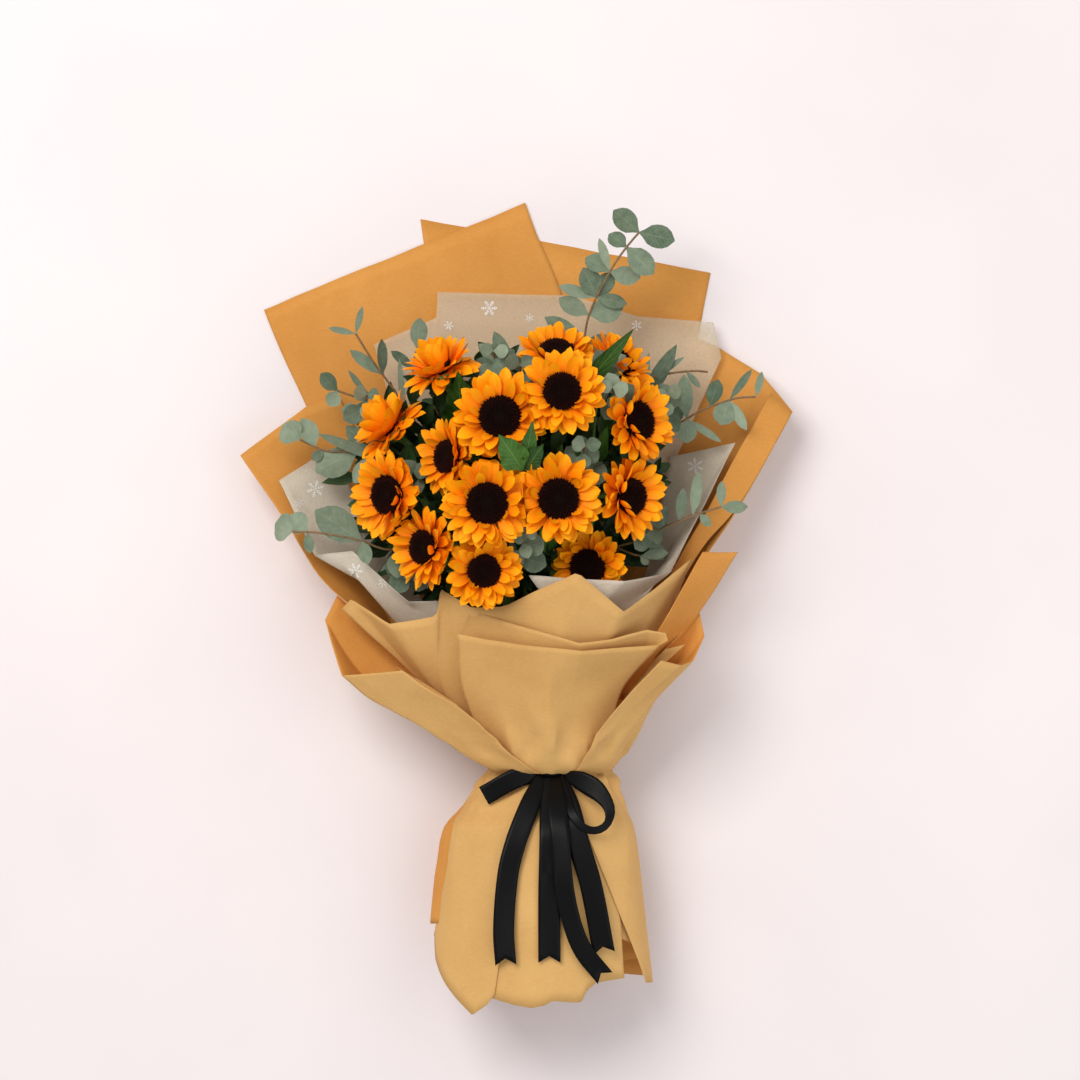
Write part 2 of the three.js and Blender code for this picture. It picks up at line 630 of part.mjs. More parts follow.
function straighten(strand, tie) {
  strand.stations.forEach((here, k) => {
    if (k <= tie) return;
    const before = strand.stations[k - 1];
    const after = strand.stations[k + 1] ?? strand.bend;
    const part = (here.y - before.y) / (after.y - before.y);
    here.x = mix(here.x, mix(before.x, after.x, part), BUNDLE.easing);
    here.z = mix(here.z, mix(before.z, after.z, part), BUNDLE.easing);
  });
}

function spread(strands, station, bound) {
  strands.forEach((one, i) => {
    const a = one.stations[station];
    if (!a) return;
    strands.slice(i + 1).forEach((other) => {
      const b = other.stations[station];
      if (!b) return;
      const spacing = bound ? BUNDLE.tiedSpacing : BUNDLE.looseSpacing;
      const needed = (one.radius + other.radius) * spacing;
      const [dx, dz] = [b.x - a.x, b.z - a.z];
      const apart = Math.hypot(dx, dz) || 1;
      const push = Math.max(needed - apart, 0) / 2;
      a.x -= (push * dx) / apart;
      a.z -= (push * dz) / apart;
      b.x += (push * dx) / apart;
      b.z += (push * dz) / apart;
    });
    if (!bound) return;
    const reach = Math.hypot(
      (a.x - WAIST.x) / (WAIST.halfWidth - BUNDLE.sideRoom - one.radius),
      (a.z - WAIST.z) / (WAIST.halfDepth + BUNDLE.backRoom - one.radius),
    );
    if (reach <= 1) return;
    a.x = WAIST.x + (a.x - WAIST.x) / reach;
    a.z = WAIST.z + (a.z - WAIST.z) / reach;
  });
}

// Stems pass beside the necks of the heads in front of them.
function keepClear(strands, station) {
  strands.forEach((one) => {
    const here = one.stations[station];
    if (!here) return;
    strands.filter((other) => other !== one && other.head).forEach((other) => {
      const neck = new THREE.Line3(other.bend, vector(other.head.at));
      const point = new THREE.Vector3(here.x, here.y, here.z);
      const near = neck.closestPointToPoint(point, true, new THREE.Vector3());
      const behindFace = near.distanceTo(vector(other.head.at));
      const widening = THREE.MathUtils.clamp(1 + behindFace / CALYX.back, 0, 1);
      const thin = (one.radius + STEM.radius) * BUNDLE.passingSpacing;
      const wide = one.radius * BUNDLE.passingSpacing + other.head.disc;
      const needed = mix(thin, wide, widening) + STEM.clearance;
      const [dx, dz] = [here.x - near.x, here.z - near.z];
      const push = Math.max(needed - point.distanceTo(near), 0) / (Math.hypot(dx, dz) || 1);
      here.x += push * dx;
      here.z += push * dz;
    });
  });
}

function strandPoints(strand) {
  return strand.stations.map(({ x, y, z }) => new THREE.Vector3(x, y, z));
}

function headStrand(head) {
  const out = vector(head.facing).normalize();
  const at = vector(head.at);
  return {
    head,
    radius: STEM.radius,
    bend: at.clone().addScaledVector(out, -mix(STEM.shortNeck, STEM.longNeck, out.z ** 2)),
    neck: at.clone().addScaledVector(out, CALYX.back + 3),
  };
}

// ---------------------------------------------------------------- sheets of paper

function waistPoint(angle, layer, side = 0) {
  const out = layer * LAYER_PITCH;
  return new THREE.Vector3(
    WAIST.x + (WAIST.halfWidth + out) * Math.cos(radians(angle)),
    WAIST.y + side * WAIST.halfNeck,
    WAIST.z + (WAIST.halfDepth + out) * Math.sin(radians(angle)),
  );
}

// A point on the skirt: the oval widens quickly down to the knee, then slowly to the hem.
function skirtPoint(angle, layer, y) {
  const ovalPoint = (scale, atY) => new THREE.Vector3(
    HEM.x + HEM.halfWidth * scale * Math.cos(radians(angle)),
    atY,
    HEM.z + HEM.halfDepth * scale * Math.sin(radians(angle)),
  );
  const out = new THREE.Vector3(Math.cos(radians(angle)), 0, Math.sin(radians(angle)));
  out.multiplyScalar((layer - HEM.layersOut) * LAYER_PITCH);
  const knee = ovalPoint(KNEE.scale, KNEE.y).add(out);
  if (y >= KNEE.y) {
    const neck = waistPoint(angle, layer, -1);
    return neck.clone().lerp(knee, (neck.y - y) / (neck.y - KNEE.y));
  }
  return knee.lerp(ovalPoint(1, HEM.y).add(out), (KNEE.y - y) / (KNEE.y - HEM.y));
}

// Points spread evenly along a short list of corners.
function alongCorners(corners, count) {
  return Array.from({ length: count }, (_, k) => {
    const place = (k / (count - 1)) * (corners.length - 1);
    const first = Math.min(Math.floor(place), corners.length - 2);
    return vector(corners[first]).lerp(vector(corners[first + 1]), place - first);
  });
}

function sheetRows(sheet) {
  const { angles, layer, hem, rows } = sheet;
  const hemAt = alongCorners(hem.map((y) => [0, y, 0]), angles.length);
  const heights = [hemAt.map(({ y }) => y)];
  if (hem.some((y) => y < KNEE.y)) heights.push(hemAt.map(({ y }) => Math.max(y + 4, KNEE.y)));
  const below = heights.map((row) => row.map((y, k) => skirtPoint(angles[k], layer, y)));
  const tied = [-1, 1].map((side) => angles.map((angle) => waistPoint(angle, layer, side)));
  return [...below, ...tied, ...rows.map((row) => alongCorners(row, angles.length))];
}

// Gives a net of points its thickness, to both sides alike.
function thickened(rows, thickness, flat) {
  const columns = rows[0].length;
  const at = (r, c) => rows[THREE.MathUtils.clamp(r, 0, rows.length - 1)][
    THREE.MathUtils.clamp(c, 0, columns - 1)];
  const points = [];
  rows.forEach((row, r) => row.forEach((point, c) => {
    const along = at(r + 1, c).clone().sub(at(r - 1, c));
    const across = at(r, c + 1).clone().sub(at(r, c - 1));
    const normal = flat ? new THREE.Vector3(0, 0, 1) : across.cross(along).normalize();
    points.push(point.clone().addScaledVector(normal, thickness / 2));
    points.push(point.clone().addScaledVector(normal, -thickness / 2));
  }));
  const index = (r, c, side) => 2 * (r * columns + c) + side;
  const faces = [];
  for (let r = 0; r + 1 < rows.length; r += 1) {
    for (let c = 0; c + 1 < columns; c += 1) {
      const corners = (side) => [index(r, c, side), index(r, c + 1, side),
        index(r + 1, c + 1, side), index(r + 1, c, side)];
      const [a, b, d, e] = corners(0);
      faces.push([a, b, d], [a, d, e]);
      const [i, j, k, l] = corners(1);
      faces.push([i, k, j], [i, l, k]);
    }
  }
  const rim = [];
  for (let c = 0; c + 1 < columns; c += 1) rim.push([0, c]);
  for (let r = 0; r + 1 < rows.length; r += 1) rim.push([r, columns - 1]);
  for (let c = columns - 1; c > 0; c -= 1) rim.push([rows.length - 1, c]);
  for (let r = rows.length - 1; r > 0; r -= 1) rim.push([r, 0]);
  rim.forEach(([r, c], k) => {
    const [nextRow, nextColumn] = rim[(k + 1) % rim.length];
    const [a, b] = [index(r, c, 0), index(nextRow, nextColumn, 0)];
    faces.push([b, a, a + 1], [b, a + 1, b + 1]);
  });
  return solidOf(points, faces);
}

function paper(sheet) {
  const thickness = sheet.tissue ? TISSUE : PAPER;
  const solids = [thickened(sheetRows(sheet), thickness, sheet.flat)];
  if (sheet.fold) solids.push(thickened(sheet.fold.map((row) => row.map(vector)), thickness));
  return fuse(solids);
}

// ---------------------------------------------------------------- foliage and ribbon

function sprig({ path, leaves }, random) {
  const smooth = new THREE.CatmullRomCurve3(path.map(vector), false, 'centripetal');
  const course = new Course(smooth.getSpacedPoints(path.length - 1));
  const solids = [bar(course, TWIG.radius, TWIG.sides)];
  leaves.forEach(([part, x, y, z, width]) => {
    const root = course.getPoint(part);
    const roll = (random() - 0.5) * LEAF.sprigRoll;
    solids.push(ovalLeaf(root, new THREE.Vector3(x, y, z), width, LEAF.thickness, roll));
  });
  return solids;
}

function foliage(plan, strand, seed) {
  const random = randomNumbers(seed);
  const main = new Course([...strandPoints(strand), strand.bend]);
  const solids = [bar(main, plan.radius, TWIG.sides)];
  plan.sprigs.forEach((one) => solids.push(...sprig(one, random)));
  return fuse(solids);
}

// A band of ribbon along its middle line, lying flat to the viewer.
function band({ path, width }) {
  const middle = new THREE.CatmullRomCurve3(path.map(vector), false, 'centripetal');
  const steps = path.length;
  const rows = Array.from({ length: steps + 1 }, (_, k) => {
    const point = middle.getPoint(k / steps);
    const along = middle.getTangent(k / steps);
    const side = along.cross(new THREE.Vector3(0, 0, 1)).normalize().multiplyScalar(width / 2);
    return [point.clone().add(side), point.clone().sub(side)];
  });
  return thickened(rows, RIBBON, false);
}

// The ribbon's turn round the tie, outside all the paper.
function turnRound() {
  const angles = Array.from({ length: TURN.sides }, (_, k) => (k * 360) / TURN.sides);
  const profile = (out, side) => angles.map((angle) => (
    waistPoint(angle, TURN.layer + out / LAYER_PITCH).setY(WAIST.y + side * TURN.halfWidth)));
  const loops = [profile(0, -1), profile(0, 1), profile(RIBBON, 1), profile(RIBBON, -1)];
  const faces = [];
  loops.forEach((_, k) => {
    const [near, far] = [k * angles.length, ((k + 1) % loops.length) * angles.length];
    angles.forEach((__, s) => {
      const next = (s + 1) % angles.length;
      faces.push([near + s, near + next, far + next], [near + s, far + next, far + s]);
    });
  });
  return solidOf(loops.flat(), faces);
}

function ribbon() {
  const knot = new THREE.SphereGeometry(0.5, 7, 4).scale(...KNOT.size).translate(...KNOT.at);
  return fuse([turnRound(), solidFromGeometry(knot), ...RIBBON_BANDS.map(band)]);
}

// ---------------------------------------------------------------- the bunch

const colours = {
  petal: { color: 0xffa00c, roughness: 0.6 },
  disc: { color: 0x230a08, roughness: 0.95 },
  stem: { color: 0x4b7a2c, roughness: 0.7 },
  kraft: { color: 0xd9a765, roughness: 0.85 },
  tissue: { color: 0xd8cdb8, roughness: 0.8 },
  foliage: { color: 0x6f8f70, roughness: 0.75 },
  ribbon: { color: 0x141416, roughness: 0.35 },
};

const bunch = new THREE.Group();
const addNode = (name, solid, colour) => {
  const material = new THREE.MeshStandardMaterial({ ...colours[colour], metalness: 0 });
  const mesh = new THREE.Mesh(geometryOf(solid), material);
  mesh.name = name;
  bunch.add(mesh);
};

const strands = HEADS.map(headStrand);
const foliageStrands = Object.values(FOLIAGE).map((plan) => (
  { radius: plan.radius, bend: vector(plan.sprigs[0].path[0]) }));
bundle([...strands, ...foliageStrands]);

const stems = HEADS.map((head, k) => {
  const frame = headFrame(head);
  const strand = strands[k];
  const course = new Course([...strandPoints(strand), strand.bend, strand.neck]);
  const stem = bar(course, STEM.radius, STEM.sides);
  const leaves = head.leaves.map(([y, ...tipAndWidth]) => {
    const nearest = course.getPoints(60).reduce((best, point) => (
      Math.abs(point.y - y) < Math.abs(best.y - y) ? point : best));
    const tip = vector(tipAndWidth);
    const leaf = (thickness) => ovalLeaf(nearest, tip, tipAndWidth[3], thickness, LEAF.stemRoll);
    return { solid: leaf(LEAF.thickness), clearance: leaf(LEAF.thickness + LEAF.petalClearance) };
  });
  const solid = fuse([calyx(head, frame), stem, ...leaves.map((leaf) => leaf.solid)]);
  return { solid, clearances: leaves.map((leaf) => leaf.clearance) };
});

const clearances = wasm.Manifold.union(stems.flatMap((stem) => stem.clearances));
HEADS.forEach((head, k) => {
  const name = `sunflower_${String(k + 1).padStart(2, '0')}`;
  const frame = headFrame(head);
  const bloom = petals(head, frame, 100 + k).subtract(clearances);
  addNode(`${name}_petals`, fuse([bloom]), 'petal');
  addNode(`${name}_disc`, seedDisc(head, frame), 'disc');
  addNode(`${name}_stem`, stems[k].solid, 'stem');
});

Object.entries(SHEETS).forEach(([name, sheet]) => {
  addNode(name, paper(sheet), sheet.tissue ? 'tissue' : 'kraft');
});

Object.entries(FOLIAGE).forEach(([name, plan], k) => {
  addNode(name, foliage(plan, foliageStrands[k], 300 + k), 'foliage');
});

addNode('ribbon', ribbon(), 'ribbon');

// The bunch stands with the middle of its box on the origin and its back on z = 0.
const box = new THREE.Box3().setFromObject(bunch);
const middle = box.getCenter(new THREE.Vector3());
bunch.position.set(-middle.x, -middle.y, -box.min.z);

export default bunch;
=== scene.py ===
# %% [markdown]
# # A bunch of sunflowers in kraft paper
# Fifteen sunflowers, sprigs of eucalyptus and dark filler leaves are wrapped in tissue and
# kraft paper, gathered at a waist and tied with black satin. A bunch with no vase lies down,
# so it lies on its back with its heads facing up (+Z) and the paper's tips toward +Y.
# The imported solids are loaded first. They stay as the collision shapes, and each gets a
# finished piece here that stands for it, in the same place.

# %% Load the solids
import json
import math
import random

import bmesh
import bpy
import numpy as np
from mathutils import Matrix, Vector, noise

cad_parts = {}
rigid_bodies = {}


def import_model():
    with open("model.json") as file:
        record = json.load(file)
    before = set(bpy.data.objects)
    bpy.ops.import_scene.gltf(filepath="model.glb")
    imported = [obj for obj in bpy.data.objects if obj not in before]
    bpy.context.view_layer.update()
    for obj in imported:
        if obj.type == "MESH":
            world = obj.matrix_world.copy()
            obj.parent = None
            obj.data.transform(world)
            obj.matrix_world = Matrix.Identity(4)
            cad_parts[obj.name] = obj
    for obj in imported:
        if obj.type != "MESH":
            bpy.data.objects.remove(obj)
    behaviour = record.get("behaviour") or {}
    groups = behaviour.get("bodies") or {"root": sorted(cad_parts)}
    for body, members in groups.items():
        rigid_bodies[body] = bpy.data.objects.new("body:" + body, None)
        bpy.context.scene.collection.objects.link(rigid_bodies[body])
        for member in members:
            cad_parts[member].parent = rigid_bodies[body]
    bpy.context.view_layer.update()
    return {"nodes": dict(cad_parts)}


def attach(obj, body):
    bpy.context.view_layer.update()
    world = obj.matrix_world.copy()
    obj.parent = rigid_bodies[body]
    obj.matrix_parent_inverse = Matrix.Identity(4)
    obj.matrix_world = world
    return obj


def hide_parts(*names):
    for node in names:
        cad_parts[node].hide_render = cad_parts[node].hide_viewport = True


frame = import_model()
MM = 0.001

# %% [markdown]
# ## Camera, light and floor
# The picture looks straight at the front of the bunch, so the camera looks straight down on
# it. A long lens from far away keeps the heads, which stand high, from growing against the
# flat paper behind them. The light is a wide soft source above and to the left, with a
# weaker one on the right, and the floor is plain and pale.

# %% Camera
PHOTO_PIXELS = 1080
MM_PER_PIXEL = 0.9
VIEW_CENTRE = Vector((21.6, 58.5, 100)) * MM
CAMERA_DISTANCE = 5.0

scene = bpy.context.scene
camera_data = bpy.data.cameras.new("camera")
camera_data.sensor_width = 36
camera_data.lens = camera_data.sensor_width * CAMERA_DISTANCE / (PHOTO_PIXELS * MM_PER_PIXEL * MM)
camera_data.clip_end = 30
camera = bpy.data.objects.new("camera", camera_data)
camera.location = VIEW_CENTRE + Vector((0, 0, CAMERA_DISTANCE))
scene.collection.objects.link(camera)
scene.camera = camera
print("lens", round(camera_data.lens, 1), "mm")

# %% Light and floor
scene.view_settings.view_transform = "Standard"
world = bpy.data.worlds.new("studio")
world.use_nodes = True
sky = world.node_tree.nodes["Background"].inputs
sky["Color"].default_value = (1.0, 0.975, 0.965, 1)
sky["Strength"].default_value = 0.55
scene.world = world


def soft_light(name, place, size, watts, colour):
    """A square lamp that faces the bunch. Its place and size are in metres."""
    data = bpy.data.lights.new(name, "AREA")
    data.size = size
    data.energy = watts
    data.color = colour
    light = bpy.data.objects.new(name, data)
    light.location = place
    light.rotation_euler = (VIEW_CENTRE - Vector(place)).to_track_quat("-Z", "Y").to_euler()
    scene.collection.objects.link(light)


soft_light("key", (-1.1, 1.3, 2.6), 1.6, 62, (1.0, 0.97, 0.93))
soft_light("fill", (1.6, -0.6, 1.9), 2.2, 16, (0.95, 0.97, 1.0))
print("lights:", [light.name for light in bpy.data.lights])

# %% [markdown]
# ## Helpers
# Node trees are written with one small wrapper, for materials and for Geometry Nodes alike:
# it makes a node, sets what is a number and links what is a socket. A material adds the
# textures and ramps that its colours need, and a Geometry Nodes tree adds named inputs.

# %% Node trees
class Nodes:
    """A node tree that is being written."""

    def __init__(self, tree):
        self.tree = tree

    def add(self, kind, inputs=None, **settings):
        node = self.tree.nodes.new(kind)
        for name, value in settings.items():
            setattr(node, name, value)
        for key, value in (inputs or {}).items():
            if isinstance(value, bpy.types.NodeSocket):
                self.tree.links.new(value, node.inputs[key])
            else:
                node.inputs[key].default_value = value
        return node

    def math(self, operation, first, second=0.0, third=0.0):
        inputs = {0: first, 1: second, 2: third}
        return self.add("ShaderNodeMath", inputs, operation=operation).outputs[0]

    def vector(self, x, y, z):
        return self.add("ShaderNodeCombineXYZ", {0: x, 1: y, 2: z}).outputs[0]

    def polar(self, turn, radius, z):
        """The point at a turn and a radius round the z axis."""
        return self.vector(self.math("MULTIPLY", self.math("COSINE", turn), radius),
                           self.math("MULTIPLY", self.math("SINE", turn), radius), z)


def linear(*screen):
    """A colour from 0 to 255, as a shader takes it: the screen curve, straight near black."""
    curve = [((c / 255 + 0.055) / 1.055) ** 2.4 if c > 10 else c / 3295 for c in screen]
    return (*curve, 1)


# %% Materials
class Finish(Nodes):
    """A material with one Principled shader, whose constants are set on its sockets."""

    def __init__(self, name, **constants):
        self.material = bpy.data.materials.new(name)
        self.material.use_nodes = True
        super().__init__(self.material.node_tree)
        self.shader = self.tree.nodes["Principled BSDF"]
        for key, value in constants.items():
            self.shader.inputs[key.replace("_", " ")].default_value = value

    def place(self):
        return self.add("ShaderNodeTexCoord").outputs["Object"]

    def attribute(self, name):
        return self.add("ShaderNodeAttribute", attribute_name=name).outputs["Fac"]

    def scaled(self, place, size):
        return self.add("ShaderNodeMapping", {"Vector": place, "Scale": size}).outputs[0]

    def speckle(self, place, scale, detail=2.0, roughness=0.5):
        inputs = {"Vector": place, "Scale": scale, "Detail": detail, "Roughness": roughness}
        return self.add("ShaderNodeTexNoise", inputs).outputs[0]

    def ramp(self, value, *stops):
        node = self.add("ShaderNodeValToRGB", {"Fac": value})
        marks = node.color_ramp.elements
        while len(marks) < len(stops):
            marks.new(0.5)
        for mark, (position, colour) in zip(marks, stops):
            mark.position = position
            mark.color = colour
        return node.outputs["Color"]

    def blend(self, share, first, second):
        node = self.add("ShaderNodeMix", data_type="RGBA")
        for slot, value in ((0, share), (6, first), (7, second)):
            socket = node.inputs[slot]
            if isinstance(value, bpy.types.NodeSocket):
                self.tree.links.new(value, socket)
            else:
                socket.default_value = value
        return node.outputs[2]

    def colour(self, socket):
        self.tree.links.new(socket, self.shader.inputs["Base Color"])

    def relief(self, height, strength, distance):
        """A faint bump from a height. The distance is in metres."""
        inputs = {"Height": height, "Strength": strength, "Distance": distance}
        bump = self.add("ShaderNodeBump", inputs)
        self.tree.links.new(bump.outputs[0], self.shader.inputs["Normal"])


# %% Pieces
def piece(name, mesh, slot, *nodes):
    """A finished piece at the origin that rides on the bunch and stands for CAD nodes."""
    thing = bpy.data.objects.new(name, mesh)
    scene.collection.objects.link(thing)
    thing.data.shade_smooth()
    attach(thing, "root")
    if nodes:
        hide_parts(*nodes)
    return thing


def mesh_of(name, points, faces, materials, **point_values):
    """A mesh with its materials, and with named values on its points."""
    mesh = bpy.data.meshes.new(name)
    mesh.from_pydata([tuple(p) for p in points], [], faces)
    for material in materials:
        mesh.materials.append(material)
    for key, values in point_values.items():
        held = mesh.attributes.new(key, "FLOAT", "POINT").data
        held.foreach_set("value", np.array(values, dtype=np.float32))
    mesh.update()
    return mesh


def net_faces(rows, columns, first=0):
    """The quads of a net of points, row after row. They face out if columns run anticlockwise."""
    corners = [first + r * columns + c for r in range(rows - 1) for c in range(columns - 1)]
    return [(k, k + columns, k + columns + 1, k + 1) for k in corners]


def ring_faces(rows, columns):
    """The faces between closed rings of points: the last column joins the first again."""
    faces = []
    for r in range(rows - 1):
        for c in range(columns):
            here, after = r * columns + c, r * columns + (c + 1) % columns
            faces.append((here, here + columns, after + columns, after))
    return faces


MERGE_WITHIN = 1e-7


def closed_shells(mesh):
    """Merges points that lie on each other, at seams and poles, and turns every shell outward."""
    shells = bmesh.new()
    shells.from_mesh(mesh)
    bmesh.ops.remove_doubles(shells, verts=shells.verts, dist=MERGE_WITHIN)
    bmesh.ops.dissolve_degenerate(shells, edges=shells.edges, dist=MERGE_WITHIN / 10)
    bmesh.ops.recalc_face_normals(shells, faces=shells.faces)
    shells.to_mesh(mesh)
    shells.free()
    return mesh


# %% Geometry Nodes trees
def grown(tree, name, inputs):
    """Runs a Geometry Nodes tree and keeps what it made as a plain mesh."""
    holder = bpy.data.objects.new(name, inputs.pop("start", None) or bpy.data.meshes.new(name))
    scene.collection.objects.link(holder)
    modifier = holder.modifiers.new("grow", "NODES")
    modifier.node_group = tree
    for item in tree.interface.items_tree:
        if item.in_out == "INPUT" and item.name in inputs:
            modifier[item.identifier] = inputs[item.name]
    graph = bpy.context.evaluated_depsgraph_get()
    mesh = bpy.data.meshes.new_from_object(holder.evaluated_get(graph))
    holder.modifiers.remove(modifier)
    bpy.data.objects.remove(holder)
    return mesh


def new_tree(name, inputs, start=False):
    """An empty tree and the sockets of its named inputs, each given by kind and first value."""
    tree = bpy.data.node_groups.new(name, "GeometryNodeTree")
    tree.is_modifier = True
    tree.interface.new_socket("Geometry", in_out="OUTPUT", socket_type="NodeSocketGeometry")
    if start:
        tree.interface.new_socket("Geometry", in_out="INPUT", socket_type="NodeSocketGeometry")
    for label, (kind, *first) in inputs.items():
        socket = tree.interface.new_socket(label, in_out="INPUT", socket_type="NodeSocket" + kind)
        if first:
            socket.default_value = first[0]
    nodes = Nodes(tree)
    return nodes, nodes.add("NodeGroupInput").outputs


def finish_tree(nodes, geometry, material, where=True):
    """Ends a tree in Realize Instances and Set Material."""
    real = nodes.add("GeometryNodeRealizeInstances", {0: geometry}).outputs[0]
    inputs = {"Geometry": real, "Selection": where, "Material": material}
    nodes.add("NodeGroupOutput", {0: nodes.add("GeometryNodeSetMaterial", inputs).outputs[0]})


def random_float(nodes, low, high, seed):
    inputs = {2: low, 3: high, 8: seed}
    return nodes.add("FunctionNodeRandomValue", inputs, data_type="FLOAT").outputs[1]


def random_pick(nodes, count, seed):
    """A whole number from 0 to one less than the count."""
    inputs = {4: 0, 5: count - 1, 8: seed}
    return nodes.add("FunctionNodeRandomValue", inputs, data_type="INT").outputs[2]


def stored(nodes, geometry, name, value, domain="INSTANCE", kind="FLOAT"):
    """Keeps a value on the geometry under a name, for the material to read."""
    inputs = {"Geometry": geometry, "Name": name, "Value": value}
    keep = nodes.add("GeometryNodeStoreNamedAttribute", inputs, domain=domain, data_type=kind)
    return keep.outputs[0]


def set_shapes(nodes, points, shapes, pick, rotation, scale):
    """Sets one shape of a collection, chosen by its number, on every point."""
    inputs = {"Collection": shapes, "Separate Children": True, "Reset Children": True}
    choice = nodes.add("GeometryNodeCollectionInfo", inputs).outputs[0]
    inputs = {"Points": points, "Instance": choice, "Pick Instance": True, "Instance Index": pick,
              "Rotation": rotation, "Scale": scale}
    return nodes.add("GeometryNodeInstanceOnPoints", inputs).outputs[0]


# %% Floor
FLOOR_HALF = 14.0
floor_finish = Finish("pale_floor", Roughness=0.9)
mottle = floor_finish.speckle(floor_finish.place(), 3.0, 3.0)
pale = floor_finish.ramp(mottle, (0.3, linear(233, 225, 227)), (0.7, linear(238, 231, 232)))
floor_finish.colour(pale)
corners = [(x * FLOOR_HALF, y * FLOOR_HALF, 0) for x, y in ((-1, -1), (1, -1), (1, 1), (-1, 1))]
floor_mesh = mesh_of("floor", corners, [(0, 1, 2, 3)], [floor_finish.material])
floor = bpy.data.objects.new("floor", floor_mesh)
scene.collection.objects.link(floor)
print("floor", 2 * FLOOR_HALF, "m wide")

# %% [markdown]
# ## Paper
# The wrap is flat sheets of kraft paper and thin tissue, each gathered at the tie and fanned
# out above and below it. Each sheet is a net of points: its lower rows lie on ovals round
# the waist and the skirt, and its upper rows go through the corners of its free edge. A sheet
# could also be simulated as cloth, but paper keeps the shape it was folded to, so a smooth
# surface through named points is closer and always the same.

# %% The tie and the skirt, in millimetres
WAIST = {"x": 31, "y": -144, "z": 58, "half_width": 48, "half_depth": 18, "half_neck": 5}
LAYER_PITCH = 1.7
HEM = {"x": 22, "y": -345, "z": 62.5, "half_width": 100, "half_depth": 62, "layers_out": 4}
KNEE = {"y": -205, "scale": 0.86, "spread": 0.58, "over_hem": 4}
OVERHANG = {"out": 13, "drop": 13, "spread": 1.3}


def waist_points(angles, layer, side):
    """A row of points on the oval of a layer, at the lower (-1) or upper (1) edge of the tie."""
    out = layer * LAYER_PITCH
    turn = np.radians(angles)
    return np.stack([
        WAIST["x"] + (WAIST["half_width"] + out) * np.cos(turn),
        np.full_like(turn, WAIST["y"] + side * WAIST["half_neck"]),
        WAIST["z"] + (WAIST["half_depth"] + out) * np.sin(turn),
    ], axis=-1)


def overhang_points(angles, layer):
    """In front the paper bulges out and down over the tie."""
    share = np.clip(np.sin(np.radians(angles)) * OVERHANG["spread"], 0, 1)
    row = waist_points(angles, layer, 1)
    row += share[:, None] * (waist_points(angles, layer + OVERHANG["out"] / LAYER_PITCH, 1) - row)
    row[:, 1] -= share * OVERHANG["drop"]
    return row


def skirt_points(angles, layer, flare, y):
    """A row of points at the heights y, on an oval that widens fast to the knee and then slowly.

    The flare is how much further out the sheet stands here than at the tie, in layers."""
    turn = np.radians(angles)
    outward = np.stack([np.cos(turn), 0 * turn, np.sin(turn)], axis=-1)
    outward = outward * (layer + flare - HEM["layers_out"])[:, None] * LAYER_PITCH

    def oval(scale, at_y):
        return outward + np.stack([
            HEM["x"] + HEM["half_width"] * scale * np.cos(turn),
            np.full_like(turn, at_y),
            HEM["z"] + HEM["half_depth"] * scale * np.sin(turn),
        ], axis=-1)

    knee, hem = oval(KNEE["scale"], KNEE["y"]), oval(1, HEM["y"])
    neck = waist_points(angles, layer, -1)
    above = ((neck[:, 1] - y) / (neck[:, 1] - KNEE["y"]))[:, None]
    below = ((KNEE["y"] - y) / (KNEE["y"] - HEM["y"]))[:, None]
    widening = np.maximum(above, 0) ** KNEE["spread"]
    over_knee = (y >= KNEE["y"])[:, None]
    return np.where(over_knee, neck + (knee - neck) * widening, knee + (hem - knee) * below)


